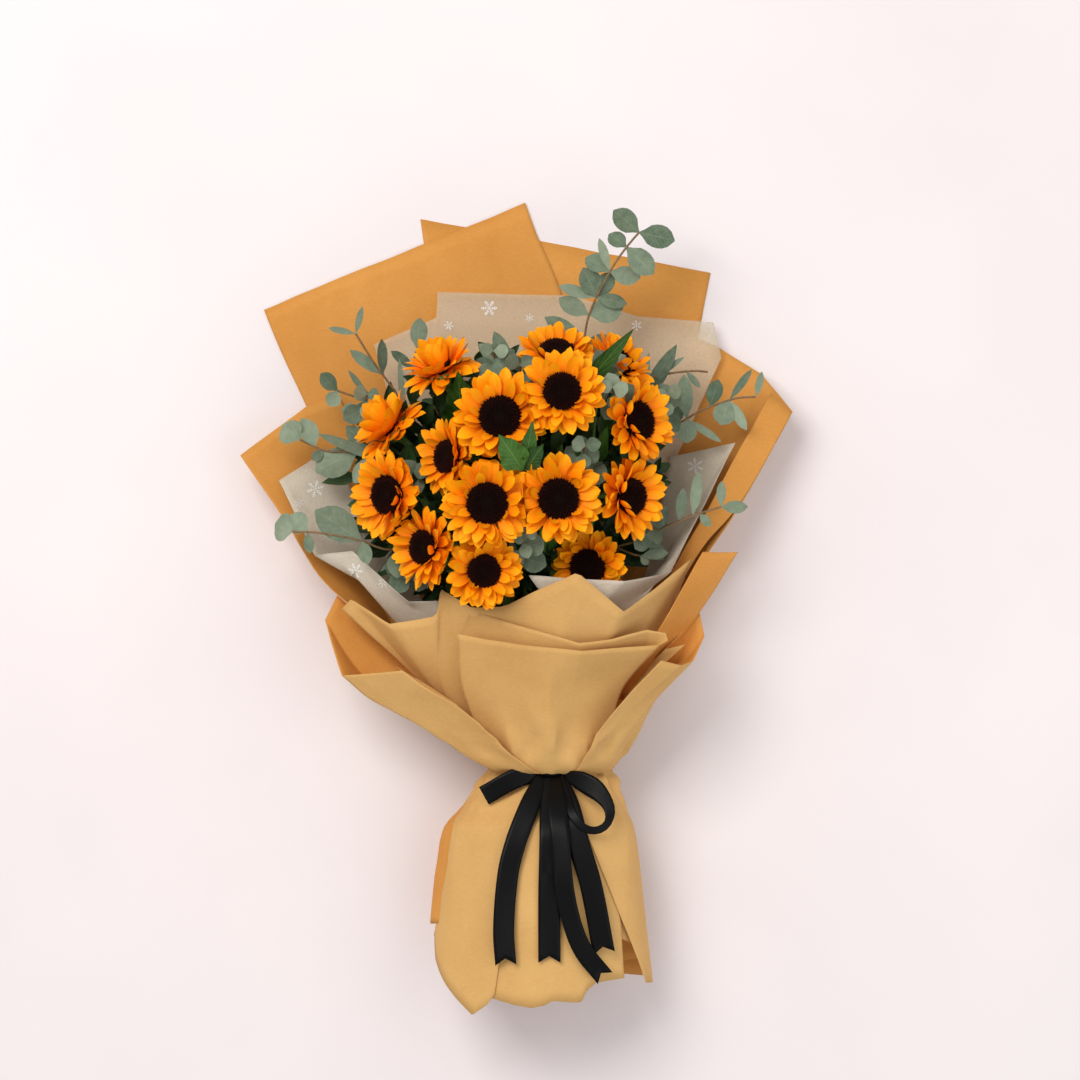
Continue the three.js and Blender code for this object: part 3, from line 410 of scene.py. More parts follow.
# %% The sheets
# Angles run round the tie, 90 in front and 270 at the back, and skirt angles replace them
# from the tie down to the hem. A layer is a sheet's place in the stack at the tie. Hem is the y
# of the skirt's lower edge, in even steps or as pairs of an angle and a y. Rows are the sheet's
# course above the tie up to its free edge, and a fold is a strip that is turned over there.
# Overhang bulges the sheet over the tie, flare stands its skirt further out on the left, in
# millimetres, and inside_out shows the orange inside on the outer face of its fold.
SHEETS = {
    "kraft_back_right": dict(
        angles=(240, 340), layer=4, hem=[-330, -338, -338],
        rows=[[[-25, -70, 4], [20, -70, 3], [60, -70, 3], [100, -70, 12]],
              [[-38, -5, 0.5], [120, -5, 0.5]],
              [[-88, 353, 0.5], [18, 334, 0.5], [178, 304, 0.5]]]),
    "kraft_back_left": dict(
        angles=(200, 300), layer=3, hem=[-290, -325, -330],
        rows=[[[-66, -70, 24], [-36, -70, 10], [45, -70, 8]],
              [[-98, -5, 6], [-60, -5, 2.4], [52, -5, 2.4]],
              [[-192, 178, 2.4], [50, 245, 2.4]],
              [[-232, 270, 2.4], [8, 367.5, 2.4]]]),
    "kraft_side_left": dict(
        angles=(140, 240), layer=2, hem=[-285, -290, -292], flare=9,
        rows=[[[-100, -40, 92], [-88, -60, 48], [-35, -62, 17]],
              [[-168, 14, 72], [-128, 10, 22], [-70, 5, 6.5]],
              [[-210, 75, 58], [-165, 95, 17], [-118, 105, 6.5]],
              [[-251, 135, 46], [-194, 180, 15], [-165, 192, 6.5]]]),
    "kraft_side_right": dict(
        angles=(-60, 40), layer=2, hem=[-330, -320, -300],
        rows=[[[62, -62, 14], [114, -60, 42], [106, -55, 78]],
              [[86, 0, 5], [130, 10, 20], [150, 12, 80]],
              [[130, 130, 5], [176, 110, 18], [206, 95, 62]],
              [[155, 248, 5], [187, 234, 7], [225, 210, 20], [251, 175, 46]]],
        fold=[[[130, -20, 86], [126, -16, 92]], [[165, 46, 75], [138, 22, 84]],
              [[205, 95, 62.5], [178, 95, 71]], [[250.5, 174.5, 46.5], [231, 192, 54]]],
        inside_out=True),
    "kraft_inner": dict(
        angles=(0, 160), layer=3, hem=[-205, -205],
        rows=[[[109, -85, 86], [25, -85, 122], [-62, -84, 96], [-73, -82, 80]],
              [[159, 42, 112], [128, 18, 134], [97, -5, 157], [76, 12, 163], [55, 30, 170],
               [-10, 0, 149], [-40, -2, 141], [-67, 14, 134], [-72, -10, 130], [-114, -17, 116],
               [-149, 5, 95], [-158, -4, 88]]],
        fold=[[[109, -85, 86], [88, -85, 95]], [[165.5, -7, 95], [128.5, -20.5, 124]],
              [[199.5, 47.5, 100], [167.5, 47.5, 116]]], inside_out=True),
    "kraft_front": dict(
        angles=(40, 140), layer=4, overhang=True,
        hem=[(40, -336), (60, -339), (66, -346), (69, -356), (84, -354), (88, -358), (95, -360),
             (103, -358), (117, -351), (140, -345)],
        rows=[[[95, -80, 112], [30, -82, 133], [-48, -80, 113]],
              [[129, -35, 136], [59, -40, 157], [12, -36, 155], [-53, -26, 140]]],
        fold=[[[-53, -42, 121], [8, -56, 138], [58, -60, 136], [94, -56, 120], [116, -46, 117],
               [125, -38, 128], [129, -35, 137]],
              [[-41, -4, 139], [13, -21, 151], [56, -33, 155], [85, -30, 149], [118, -21, 139],
               [134, -24, 138], [136, -31, 142]]]),
    "kraft_left": dict(
        angles=(100, 200), skirt_angles=((100, 200), (104, 160), (109, 158), (114, 176)),
        layer=5, overhang=True,
        hem=[(114, -348), (118, -358), (126, -367), (164, -320), (172, -300), (200, -296)],
        rows=[[[-51, -92, 126], [-100, -101, 104], [-108, -88, 76], [-82, -72, 58]],
              [[-80, -74, 133], [-132, -84, 106], [-142, -62, 74], [-118, -34, 58]],
              [[-102, -58, 138], [-156, -64, 108], [-174, -14, 76], [-163, 8, 64]]],
        fold=[[[-51, -92, 126], [-52, -90, 124]], [[-80, -74, 133], [-83, -69, 124]],
              [[-102, -58, 138], [-108, -55, 121]]]),
    "kraft_right": dict(
        angles=(0, 72), skirt_angles=((0, 72), (0, 60)), layer=5, overhang=True,
        hem=[-342, -341, -285, -210],
        rows=[[[94, -82, 84], [124, -92, 84], [114, -99, 112], [80, -105, 126]],
              [[134, -39, 108], [148, -26, 98], [166, -7, 90], [170, -28, 98], [159, -49, 116],
               [148, -54, 130], [130, -49, 140]]],
        fold=[[[94, -82, 84], [98, -84, 96]], [[134, -39, 108], [152, -35, 112]]]),
    "tissue_back": dict(
        angles=(246, 294), layer=2, hem=[-205, -205],
        rows=[[[-20, -70, 19], [28, -70, 14], [56, -70, 19]],
              [[-60, -5, 9.5], [84, -5, 9.5]],
              [[-131, 238, 8], [-74, 262, 8], [-72, 286, 8], [53, 282, 8], [110, 264, 8],
               [181, 257, 15], [188, 225, 18]]]),
    "tissue_left": dict(
        angles=(120, 220), layer=1, hem=[-205, -205],
        rows=[[[-40, -70, 94], [-72, -62, 62], [-42, -62, 34]],
              [[-69, -9, 110], [-126, 2, 80], [-86, 5, 24]],
              [[-70, 4, 112], [-96, 3, 108], [-148, 49, 94], [-182, 44, 79], [-216, 112, 54],
               [-173, 141, 24]]]),
    "tissue_right": dict(
        angles=(-40, 60), layer=1, hem=[-205, -205],
        rows=[[[76, -62, 34], [98, -64, 70], [50, -70, 112]],
              [[112, 8, 32], [110, -5, 112], [41, -15, 142]],
              [[142, 135, 20], [199, 146, 62], [165, 80, 84], [140, 29, 101], [97, 22, 146],
               [12, 27, 151]]]),
}
print(len(SHEETS), "sheets")


# %% Rows of points
def along_corners(corners, count):
    """Points along a row of corners, with as many between one pair of corners as the next."""
    corners = np.array(corners, dtype=float)
    place, at = np.linspace(0, len(corners) - 1, count), np.arange(len(corners))
    return np.stack([np.interp(place, at, column) for column in corners.T], axis=-1)


def smooth_between(rows, steps):
    """Rows of points with smooth rows put between them, by a Catmull-Rom curve in each column."""
    rows = np.array(rows)
    ends = np.concatenate([2 * rows[:1] - rows[1:2], rows, 2 * rows[-1:] - rows[-2:-1]])
    out = []
    for k in range(1, len(ends) - 2):
        before, here, there, after = ends[k - 1:k + 3]
        spans = zip((here, before, there), (there, here, after))
        gap, into, past = (np.linalg.norm(b - a, axis=1, keepdims=True) for a, b in spans)
        lean_in = (there - before) / (1 + into / gap)
        lean_out = (after - here) / (1 + past / gap)
        for t in np.linspace(0, 1, steps, endpoint=False):
            out.append((2 * t**3 - 3 * t**2 + 1) * here + (t**3 - 2 * t**2 + t) * lean_in
                       + (3 * t**2 - 2 * t**3) * there + (t**3 - t**2) * lean_out)
    return np.array(out + [rows[-1]])


# %% Pleats and crumple, in millimetres
# Short pleats stand close round the tie, and long ones reach out from it. The count is how many
# go round half a turn, and the sharpness narrows the valleys between them. They fade in until
# the start and fade out by the reach, both counted from the tie. Wander makes their spacing
# uneven. The gather is small crumple next to the tie.
PLEATS = {"short": dict(height=3.2, reach=28, start=8, count=7.5, shift=1.0, sharpness=0.7),
          "long": dict(height=1.8, reach=110, start=30, count=3.5, shift=0.4, sharpness=0.8)}
FINE_PLEAT = {"height": 0.5, "count": 19, "shift": 2.3}
WANDER = {"size": 70, "turn": 1.5}
WAIST_FLATNESS = 2.0
CRUMPLE = {"size": 58, "height": 1.3, "fine_size": 21, "fine_height": 0.35}
GATHER = {"size": 12, "height": 3.6, "reach": 26, "start": 10}
LOWEST_PAPER = 0.3
NOISE_SEED = 4
noise.seed_set(NOISE_SEED)  # without a seed, noise_vector takes its offsets from the clock


def ridges(turn, bend, pleat):
    """A wave round the tie with sharp valleys and broad backs, from -1 to 1."""
    wave = np.sin(pleat["count"] * turn + pleat["shift"] + bend)
    return 1 - 2 * np.abs(wave) ** pleat["sharpness"]


def creased(points):
    """Pleats at the tie and a light crumple. Every sheet takes the same, so none cuts another."""
    flat = points.reshape(-1, 3).copy()
    turn = np.arctan2((flat[:, 2] - WAIST["z"]) * WAIST_FLATNESS, flat[:, 0] - WAIST["x"])
    away = np.maximum(np.abs(flat[:, 1] - WAIST["y"]) - WAIST["half_neck"], 0)
    short, long = PLEATS["short"], PLEATS["long"]
    near = np.exp(-(away / short["reach"]) ** 2) * short["height"]
    near *= np.minimum(away / short["start"], 1)
    far = np.exp(-away / long["reach"]) * long["height"] * np.minimum(away / long["start"], 1)
    wander = [noise.noise(Vector(place)) for place in flat / WANDER["size"]]
    bend = np.array(wander) * WANDER["turn"]
    fine = FINE_PLEAT["height"] * np.sin(FINE_PLEAT["count"] * turn + FINE_PLEAT["shift"])
    swell = near * (ridges(turn, bend, short) + fine) + far * ridges(turn, bend, long)
    flat[:, 0] += swell * np.cos(turn)
    flat[:, 2] += swell * np.sin(turn)
    tight = np.exp(-(away / GATHER["reach"]) ** 2) * np.minimum(away / GATHER["start"], 1)
    tight *= GATHER["height"]
    for point, gather in zip(flat, tight):
        where = Vector(point)
        wide = noise.noise_vector(where / CRUMPLE["size"]) * CRUMPLE["height"]
        wide += noise.noise_vector(where / GATHER["size"]) * gather
        fine = noise.noise_vector(where / CRUMPLE["fine_size"]) * CRUMPLE["fine_height"]
        point += np.array(wide + fine)
        point[2] = max(point[2], LOWEST_PAPER)
    return flat.reshape(points.shape)


# %% A sheet's net
COLUMNS = 61
STEPS = 9
FLARE_ANGLES = (150, 180)
SKIRT_STEPS = {"below_knee": 0.35, "over_knee": 6, "near_neck": (0.2, 0.8)}
print("a sheet is", COLUMNS, "points wide")


def hem_heights(sheet, angles):
    """The y of the hem in each column: even steps, or pairs of an angle and a y."""
    if isinstance(sheet["hem"][0], tuple):
        return np.interp(angles, *zip(*sheet["hem"]))
    return along_corners([[y] for y in sheet["hem"]], COLUMNS)[:, 0]


def skirt_flare(sheet, angles):
    """How much further out a sheet stands in the skirt, in layers, growing round its side."""
    return np.interp(angles, FLARE_ANGLES, (0, sheet.get("flare", 0) / LAYER_PITCH))


def skirt_heights(hem, neck):
    """The y of every column in each row of the skirt, from the hem up to the tie."""
    knee = np.maximum(hem + KNEE["over_hem"], KNEE["y"])
    knee_part, neck_part = SKIRT_STEPS["near_neck"]
    return (hem, knee + (hem - knee) * SKIRT_STEPS["below_knee"], knee + SKIRT_STEPS["over_knee"],
            (knee + neck) / 2, knee * knee_part + neck * neck_part)


def skirt_rows(sheet, angles):
    """The sheet's rows below the tie. Its angles may turn on the way down to the hem."""
    layer, flare = sheet["layer"], skirt_flare(sheet, angles)
    spans = sheet.get("skirt_angles", [sheet["angles"]])
    low_angles = [np.linspace(*span, COLUMNS) for span in spans]
    hem = hem_heights(sheet, low_angles[-1])
    if hem.min() >= KNEE["y"]:
        return [skirt_points(angles, layer, flare, hem)]
    rows, steps = [], range(len(spans))
    neck = WAIST["y"] - WAIST["half_neck"]
    for y in skirt_heights(hem, neck):
        share = (neck - y) / (neck - hem) * (len(spans) - 1)
        turned = [np.interp(part, steps, column) for part, column in zip(share, zip(*low_angles))]
        rows.append(skirt_points(np.array(turned), layer, flare, y))
    return rows


def sheet_net(sheet):
    """The whole sheet, from its hem through the tie to its free edge."""
    angles, layer = np.linspace(*sheet["angles"], COLUMNS), sheet["layer"]
    rows = skirt_rows(sheet, angles)
    rows += [waist_points(angles, layer, -1), waist_points(angles, layer, 1)]
    if sheet.get("overhang"):
        rows.append(overhang_points(angles, layer))
    rows += [along_corners(row, COLUMNS) for row in sheet["rows"]]
    return smooth_between(rows, STEPS)


# %% [markdown]
# ### Kraft and tissue
# Kraft paper is brown pulp with fine fibres lying one way, a dull face and slow changes of
# tone. A noise that is stretched along the fibres and a wide soft one carry that, both as
# colour and the first as a faint relief too. A photo of paper would have to be unwrapped.
# The sheets are pale outside and a deeper orange inside, so each wall takes one finish on its
# outer face and the other on its inner face. Tissue is thin enough to show the kraft through it.

# %% Paper finishes
def kraft_finish(name, light, dark):
    finish = Finish(name, Roughness=0.74, Specular_IOR_Level=0.28)
    place = finish.place()
    fibres = finish.speckle(finish.scaled(place, (260, 900, 260)), 1.0, 3.0, 0.65)
    clouds = finish.speckle(place, 9.0, 4.0, 0.6)
    tone = finish.math("MULTIPLY_ADD", fibres, 0.35, finish.math("MULTIPLY", clouds, 0.65))
    finish.colour(finish.ramp(tone, (0.34, dark), (0.66, light)))
    finish.relief(fibres, 0.12, 0.0006)
    return finish.material


kraft_front = kraft_finish("kraft_front", linear(218, 174, 108), linear(200, 154, 90))
kraft_back = kraft_finish("kraft_back", linear(218, 154, 76), linear(200, 134, 57))
print("finishes:", kraft_front.name, kraft_back.name)


# %% Tissue finishes
def tissue_finish(name, alpha, light, dark):
    finish = Finish(name, Roughness=0.6, Specular_IOR_Level=0.3, Alpha=alpha)
    place = finish.place()
    fibres = finish.speckle(finish.scaled(place, (500, 500, 500)), 1.0, 3.0, 0.7)
    folds = finish.speckle(place, 40.0, 3.0, 0.6)
    finish.colour(finish.ramp(fibres, (0.3, dark), (0.7, light)))
    finish.relief(folds, 0.35, 0.002)
    return finish.material


tissue_single = tissue_finish("tissue_single", 0.40, linear(238, 224, 196), linear(222, 206, 176))
tissue_double = tissue_finish("tissue_double", 0.74, linear(230, 222, 204), linear(212, 202, 182))
print("finishes:", tissue_single.name, tissue_double.name)

# %% Make the sheets
# A sheet takes its own pair of finishes where it has one, and that of its kind otherwise. The
# pair is the outer and the inner face, in the first two slots. A fold has the third. The left
# side sheet's outer face takes the deeper orange too, as painted shade where it turns away
# from the light.
PAPER_THICKNESS = {"kraft": 0.35, "tissue": 0.12}
FINISHES = {"kraft": (kraft_front, kraft_back), "kraft_side_left": (kraft_back, kraft_back),
            "tissue": (tissue_double, tissue_double), "tissue_back": (tissue_single, tissue_single)}
FOLD_COLUMNS = 25
SHEET_SLOT, FOLD_SLOT = 0, 2


def paper(name, sheet):
    """A sheet and its fold as one mesh, with a wall's thickness and its inner side's finish."""
    kind = name.split("_")[0]
    net = creased(sheet_net(sheet))
    points = list(net.reshape(-1, 3) * MM)
    faces = net_faces(len(net), COLUMNS)
    slots = [SHEET_SLOT] * len(faces)
    if "fold" in sheet:
        rows = [along_corners(row, FOLD_COLUMNS) for row in sheet["fold"]]
        strip = creased(smooth_between(rows, STEPS))
        faces += net_faces(len(strip), FOLD_COLUMNS, len(points))
        points += list(strip.reshape(-1, 3) * MM)
        slots += [FOLD_SLOT] * (len(faces) - len(slots))
    outside, inside = FINISHES.get(name, FINISHES[kind])
    fold_side = inside if "inside_out" in sheet else outside
    mesh = mesh_of(name, points, faces, [outside, inside, fold_side])
    mesh.polygons.foreach_set("material_index", slots)
    made = piece("paper_" + name, mesh, kind, name)
    wall = made.modifiers.new("thickness", "SOLIDIFY")
    wall.thickness = PAPER_THICKNESS[kind] * MM
    wall.offset = 0
    wall.material_offset = 1  # the inner face of a wall takes the slot after its outer face
    return made


for name, sheet in SHEETS.items():
    made = paper(name, sheet)
    print(made.name, len(made.data.polygons), "faces")

# %% [markdown]
# ## Heads
# A sunflower head is a disc of hundreds of florets set in two spirals, with a few loose rings
# of petals round it. The petals are thin, grooved lengthwise and all a little different. Each
# could be modelled by hand, but there are hundreds, so a few petal shapes are made and a
# Geometry Nodes tree sets them round the disc with a random swing, lift, twist and size.
# Where two heads meet, the petals press against each other and slide up, so their points are
# moved back behind a plane between the heads.

# %% The heads, in millimetres
# Each head: centre of its disc face, the way it faces, outer radius and disc radius. Leaves
# grow from its stem at a height y, and are given by tip and width, and by the top of their
# stalk where they have one. A half-open head hides its disc down to its bud radius, its petals
# are raised by its closing and are wider by its fullness. A ceiling is a y and a height: below
# that y the petals stay under the paper in front of them.
HEADS = [
    dict(at=(-14, 168, 186), facing=(0, 0.15, 1), radius=42, disc=19,
         leaves=[(116, -15, 151, 208, 27, 6, 121, 190), (116, 15, 163, 209, 16, 8, 122, 188),
                 (116, 25, 143, 204, 17, 9, 121, 188)]),
    dict(at=(41, 190, 194), facing=(0.05, 0.18, 1), radius=38, disc=17,
         leaves=[(170, 105, 245, 188, 20)]),
    dict(at=(-25, 91, 190), facing=(0, 0.05, 1), radius=41, disc=19,
         leaves=[(44, -6, 70, 150, 16)]),
    dict(at=(38, 95, 190), facing=(0.05, 0, 1), radius=40, disc=18.5,
         leaves=[(44, 22, 72, 152, 12)]),
    dict(at=(36, 228, 142), facing=(0, 0.8, 0.6), radius=36, disc=16, leaves=[]),
    dict(at=(94, 219, 132), facing=(0.6, 0.65, 0.45), radius=34, disc=15, closing=0.3, leaves=[]),
    dict(at=(111, 165, 160), facing=(0.72, 0.15, 0.67), radius=39, disc=17.5,
         leaves=[(122, 49, 143, 168, 16), (128, 82, 160, 172, 13), (150, 86, 196, 172, 13)]),
    dict(at=(104, 97, 160), facing=(0.72, 0, 0.69), radius=39, disc=16.5, leaves=[]),
    dict(at=(-116, 99, 150), facing=(-0.68, 0, 0.73), radius=40, disc=17.5, leaves=[]),
    dict(at=(-116, 162, 118), facing=(-0.7, 0.66, 0.25), radius=36, disc=15, bud=9, closing=0.75,
         fullness=1.3, leaves=[]),
    dict(at=(-68, 215, 128), facing=(-0.35, 0.88, 0.3), radius=36, disc=15, bud=9, closing=0.75,
         fullness=1.3, leaves=[(150, -52, 208, 164, 36)]),
    dict(at=(-62, 133, 164), facing=(-0.75, 0.1, 0.65), radius=36, disc=15, leaves=[]),
    dict(at=(-83, 52, 160), facing=(-0.68, 0, 0.73), radius=37, disc=15.5, leaves=[]),
    dict(at=(-28, 31, 172), facing=(0.08, -0.05, 1), radius=34, disc=15, leaves=[]),
    dict(at=(64, 34, 132), facing=(-0.3, -0.1, 1), radius=34, disc=16.5, ceiling=(6, 116),
         leaves=[]),
]


def head_matrix(head):
    """The head's own frame in millimetres: z out of the face, and y as near +Y as it can be."""
    out = Vector(head["facing"]).normalized()
    right = Vector((0, 1, 0)).cross(out).normalized()
    up = out.cross(right)
    return Matrix.Translation(head["at"]) @ Matrix((right, up, out)).transposed().to_4x4()


print(len(HEADS), "heads")

# %% [markdown]
# ### Petal, disc and leaf finishes
# A petal is deep orange where it starts and clear yellow toward its tip, with fine lines along
# it. A disc is nearly black in the middle and reddish brown at its rim, where the florets are
# open. A leaf has a midrib and slanted side veins. All of these follow the shape, not the
# room, so the finishes read values that the shapes carry: how far along, how far across and a
# tone of their own. An image could carry them too, but would need unwrapping.

# %% Petal and disc finishes
def petal_finish():
    finish = Finish("petal", Roughness=0.58, Specular_IOR_Level=0.18)
    along, across, tone = (finish.attribute(name) for name in ("along", "across", "tone"))
    wide, long = finish.math("MULTIPLY", across, 9.0), finish.math("MULTIPLY", along, 1.6)
    lines = finish.speckle(finish.vector(wide, long, tone), 1.0, 3.0)
    place = finish.math("MULTIPLY_ADD", lines, 0.28, finish.math("SUBTRACT", along, 0.14))
    base = finish.ramp(place, (0.0, linear(222, 86, 0)), (0.16, linear(250, 128, 0)),
                       (0.5, linear(255, 156, 0)), (0.95, linear(255, 180, 6)))
    deep = finish.blend(finish.math("MULTIPLY", tone, 0.4), base, linear(252, 132, 0))
    finish.colour(deep)
    finish.relief(lines, 0.5, 0.0009)
    return finish.material


def disc_finish():
    finish = Finish("seed_disc", Roughness=0.9, Specular_IOR_Level=0.1)
    rim, height = finish.attribute("rim"), finish.attribute("along")
    fuzz = finish.speckle(finish.place(), 1400.0, 2.0)
    base = finish.ramp(rim, (0.0, linear(24, 23, 9)), (0.34, linear(12, 8, 4)),
                       (0.55, linear(16, 5, 4)), (0.92, linear(42, 11, 6)))
    # The tops of the florets are painted lighter reddish brown: painted light where it falls on
    # them.
    lit = finish.blend(finish.math("MULTIPLY", height, 0.45), base, linear(58, 20, 9))
    finish.colour(finish.blend(finish.math("MULTIPLY", fuzz, 0.5), lit, linear(6, 3, 3)))
    finish.relief(fuzz, 0.5, 0.0006)
    return finish.material


# %% Leaf and stem finishes
VEINS = {"slant": -0.28, "count": 26.0, "midrib": 14.0, "fineness": 14.0, "strength": 0.35}


def leaf_finish(name, light, dark, vein, roughness, veined=0.6):
    """A leaf whose midrib and side veins come from its own coordinates."""
    finish = Finish(name, Roughness=roughness, Specular_IOR_Level=0.35)
    along, across, tone = (finish.attribute(key) for key in ("along", "across", "tone"))
    side = finish.math("ABSOLUTE", across)
    slanted = finish.math("MULTIPLY_ADD", side, VEINS["slant"], along)
    waves = finish.math("SINE", finish.math("MULTIPLY", slanted, VEINS["count"]))
    narrow = finish.math("POWER", finish.math("ABSOLUTE", waves), VEINS["fineness"])
    veins = finish.math("MULTIPLY", narrow, VEINS["strength"])
    midrib = finish.math("SUBTRACT", 1.0, finish.math("MULTIPLY", side, VEINS["midrib"]))
    rib = finish.math("MAXIMUM", finish.math("MAXIMUM", midrib, veins), 0.0)
    clouds = finish.speckle(finish.place(), 160.0, 3.0)
    mixed = finish.math("MULTIPLY_ADD", tone, 0.6, finish.math("MULTIPLY_ADD", clouds, 0.5, -0.05))
    base = finish.ramp(mixed, (0.15, dark), (0.85, light))
    finish.colour(finish.blend(finish.math("MULTIPLY", rib, veined), base, vein))
    finish.relief(finish.math("ADD", rib, finish.math("MULTIPLY", clouds, 0.5)), 0.4, 0.0006)
    return finish.material


def stem_finish():
    finish = Finish("stem", Roughness=0.6, Specular_IOR_Level=0.3)
    place = finish.place()
    lines = finish.speckle(finish.scaled(place, (700, 60, 700)), 1.0, 3.0)
    hairs = finish.speckle(place, 1600.0, 2.0)
    finish.colour(finish.ramp(lines, (0.3, linear(58, 96, 34)), (0.7, linear(104, 142, 62))))
    finish.relief(finish.math("ADD", lines, hairs), 0.35, 0.0006)
    return finish.material


petal_material = petal_finish()
disc_material = disc_finish()
sunflower_leaf = leaf_finish("sunflower_leaf", linear(64, 108, 32), linear(26, 58, 15),
                             linear(112, 146, 70), 0.5)
stem_material = stem_finish()
print("finishes:", petal_material.name, disc_material.name, sunflower_leaf.name, stem_material.name)


# %% Petal shapes
PETAL_NET = {"rows": 11, "columns": 5}
PETAL_OUTLINE = [(0, 0.5), (0.15, 0.72), (0.4, 1.0), (0.68, 0.98), (0.86, 0.72), (0.96, 0.34),
                 (1, 0.06)]
PETAL_SHAPES = [
    dict(curl=-0.55, sway=0.05, twist=0.15, cup=0.30),
    dict(curl=0.55, sway=-0.04, twist=-0.20, cup=0.22),
    dict(curl=0.15, sway=0.10, twist=0.35, cup=0.34),
    dict(curl=-0.25, sway=-0.09, twist=-0.10, cup=0.20),
    dict(curl=0.95, sway=0.03, twist=0.10, cup=0.30),
    dict(curl=-0.85, sway=-0.06, twist=0.25, cup=0.18),
    dict(curl=0.35, sway=0.12, twist=-0.45, cup=0.38),
]
# A blade lies level at this share of its length. Its grooves run out early, by their pace.
CURL_FROM = 0.25
GROOVE_PACE = 1.3


def bent_blade(shape, outline, rows, columns, groove=0.10):
    """A blade one unit long: curled along its length, cupped and grooved across it."""
    points, along, across = [], [], []
    place = Vector((0, 0, 0))
    marks, halves = zip(*outline)
    for r in range(rows):
        t = r / (rows - 1)
        half = float(np.interp(t, marks, halves)) / 2
        heading = shape["curl"] * (t - CURL_FROM)
        if r:
            place += Vector((math.cos(heading), 0, math.sin(heading))) / (rows - 1)
        swayed = place.y + shape["sway"] * math.sin(math.pi * t / 2) ** 2
        turn = shape["twist"] * t
        for c in range(columns):
            v = 2 * c / (columns - 1) - 1
            grooves = groove * (1 - abs(2 * abs(v) - 1))
            grooves *= math.sin(math.pi * min(t * GROOVE_PACE, 1))
            side, up = v * half, (shape["cup"] * v * v - grooves) * half
            points.append((place.x, swayed + side * math.cos(turn) - up * math.sin(turn),
                           place.z + side * math.sin(turn) + up * math.cos(turn)))
            along.append(t)
            across.append(v)
    return points, net_faces(rows, columns), along, across


def shapes_collection(name, shapes, outline, material, rows, columns, **options):
    """Blade shapes for a tree to pick from, kept out of the scene."""
    group = bpy.data.collections.new(name)
    for k, shape in enumerate(shapes):
        points, faces, along, across = bent_blade(shape, outline, rows, columns, **options)
        mesh = mesh_of(f"{name}_{k}", points, faces, [material], along=along, across=across)
        group.objects.link(bpy.data.objects.new(f"{name}_{k}", mesh))
    scene.collection.children.link(group)
    return group


def drop_collection(group):
    for shape in list(group.objects):
        bpy.data.objects.remove(shape)
    bpy.data.collections.remove(group)


petal_shapes = shapes_collection("petal_shape", PETAL_SHAPES, PETAL_OUTLINE, petal_material,
                                 **PETAL_NET)


# %% Ring tree
# A ring of blades: how many, the first one's turn as a share of a step, how far inside the
# disc's edge and how high they sit, and the ranges of their lift, reach and width. The swing
# is how far one may stand aside, and closes is its share of the head's closing.
RING_SEEDS = {"head": 17.0, "ring": 31.0, "shape": 3.0, "first_shape": 7.0}
BLADE_JITTER = {"height": 0.0006, "roll": 0.35}


def ring_of_blades(nodes, given, shapes, k, ring):
    def chance(low, high, offset):
        offset += RING_SEEDS["ring"] * k
        seed = nodes.math("MULTIPLY_ADD", given["Seed"], RING_SEEDS["head"], offset)
        return random_float(nodes, low, high, seed)

    height, roll = BLADE_JITTER["height"], BLADE_JITTER["roll"]
    inputs = {"Vertices": ring["count"], "Radius": 1.0}
    circle = nodes.add("GeometryNodeMeshCircle", inputs).outputs[0]
    index = nodes.add("GeometryNodeInputIndex").outputs[0]
    step = 2 * math.pi / ring["count"]
    turn = nodes.math("ADD", nodes.math("MULTIPLY_ADD", index, step, ring["start"] * step),
                      chance(-ring["swing"], ring["swing"], 1))
    radius = nodes.math("ADD", given["Disc radius"], ring["inset"])
    spot = nodes.polar(turn, radius, nodes.math("ADD", chance(-height, height, 2), ring["height"]))
    points = nodes.add("GeometryNodeSetPosition", {"Geometry": circle, "Position": spot}).outputs[0]
    flat, steep = ring["lift"]
    lift = nodes.math("MULTIPLY_ADD", given["Closing"], -ring["closes"], chance(-steep, -flat, 3))
    rotation = nodes.vector(chance(-roll, roll, 4), lift, turn)
    length = nodes.math("MULTIPLY", given["Blade length"], chance(*ring["reach"], 5))
    width = nodes.math("MULTIPLY", given["Blade width"], chance(*ring["width"], 6))
    first = RING_SEEDS["first_shape"] + k
    seed = nodes.math("MULTIPLY_ADD", given["Seed"], RING_SEEDS["shape"], first)
    pick = random_pick(nodes, len(shapes.objects), seed)
    placed = set_shapes(nodes, points, shapes, pick, rotation, nodes.vector(length, width, width))
    return stored(nodes, placed, "tone", chance(0.0, 1.0, 8))


def ring_tree(name, shapes, rings, material):
    """Rings of blades round a disc."""
    nodes, given = new_tree(name, {
        "Disc radius": ("Float", 0.017), "Blade length": ("Float", 0.022),
        "Blade width": ("Float", 0.010), "Closing": ("Float", 0.0), "Seed": ("Int", 1)})
    joined = nodes.add("GeometryNodeJoinGeometry")
    for k, ring in enumerate(rings):
        nodes.tree.links.new(ring_of_blades(nodes, given, shapes, k, ring), joined.inputs[0])
    finish_tree(nodes, joined.outputs[0], material)
    return nodes.tree


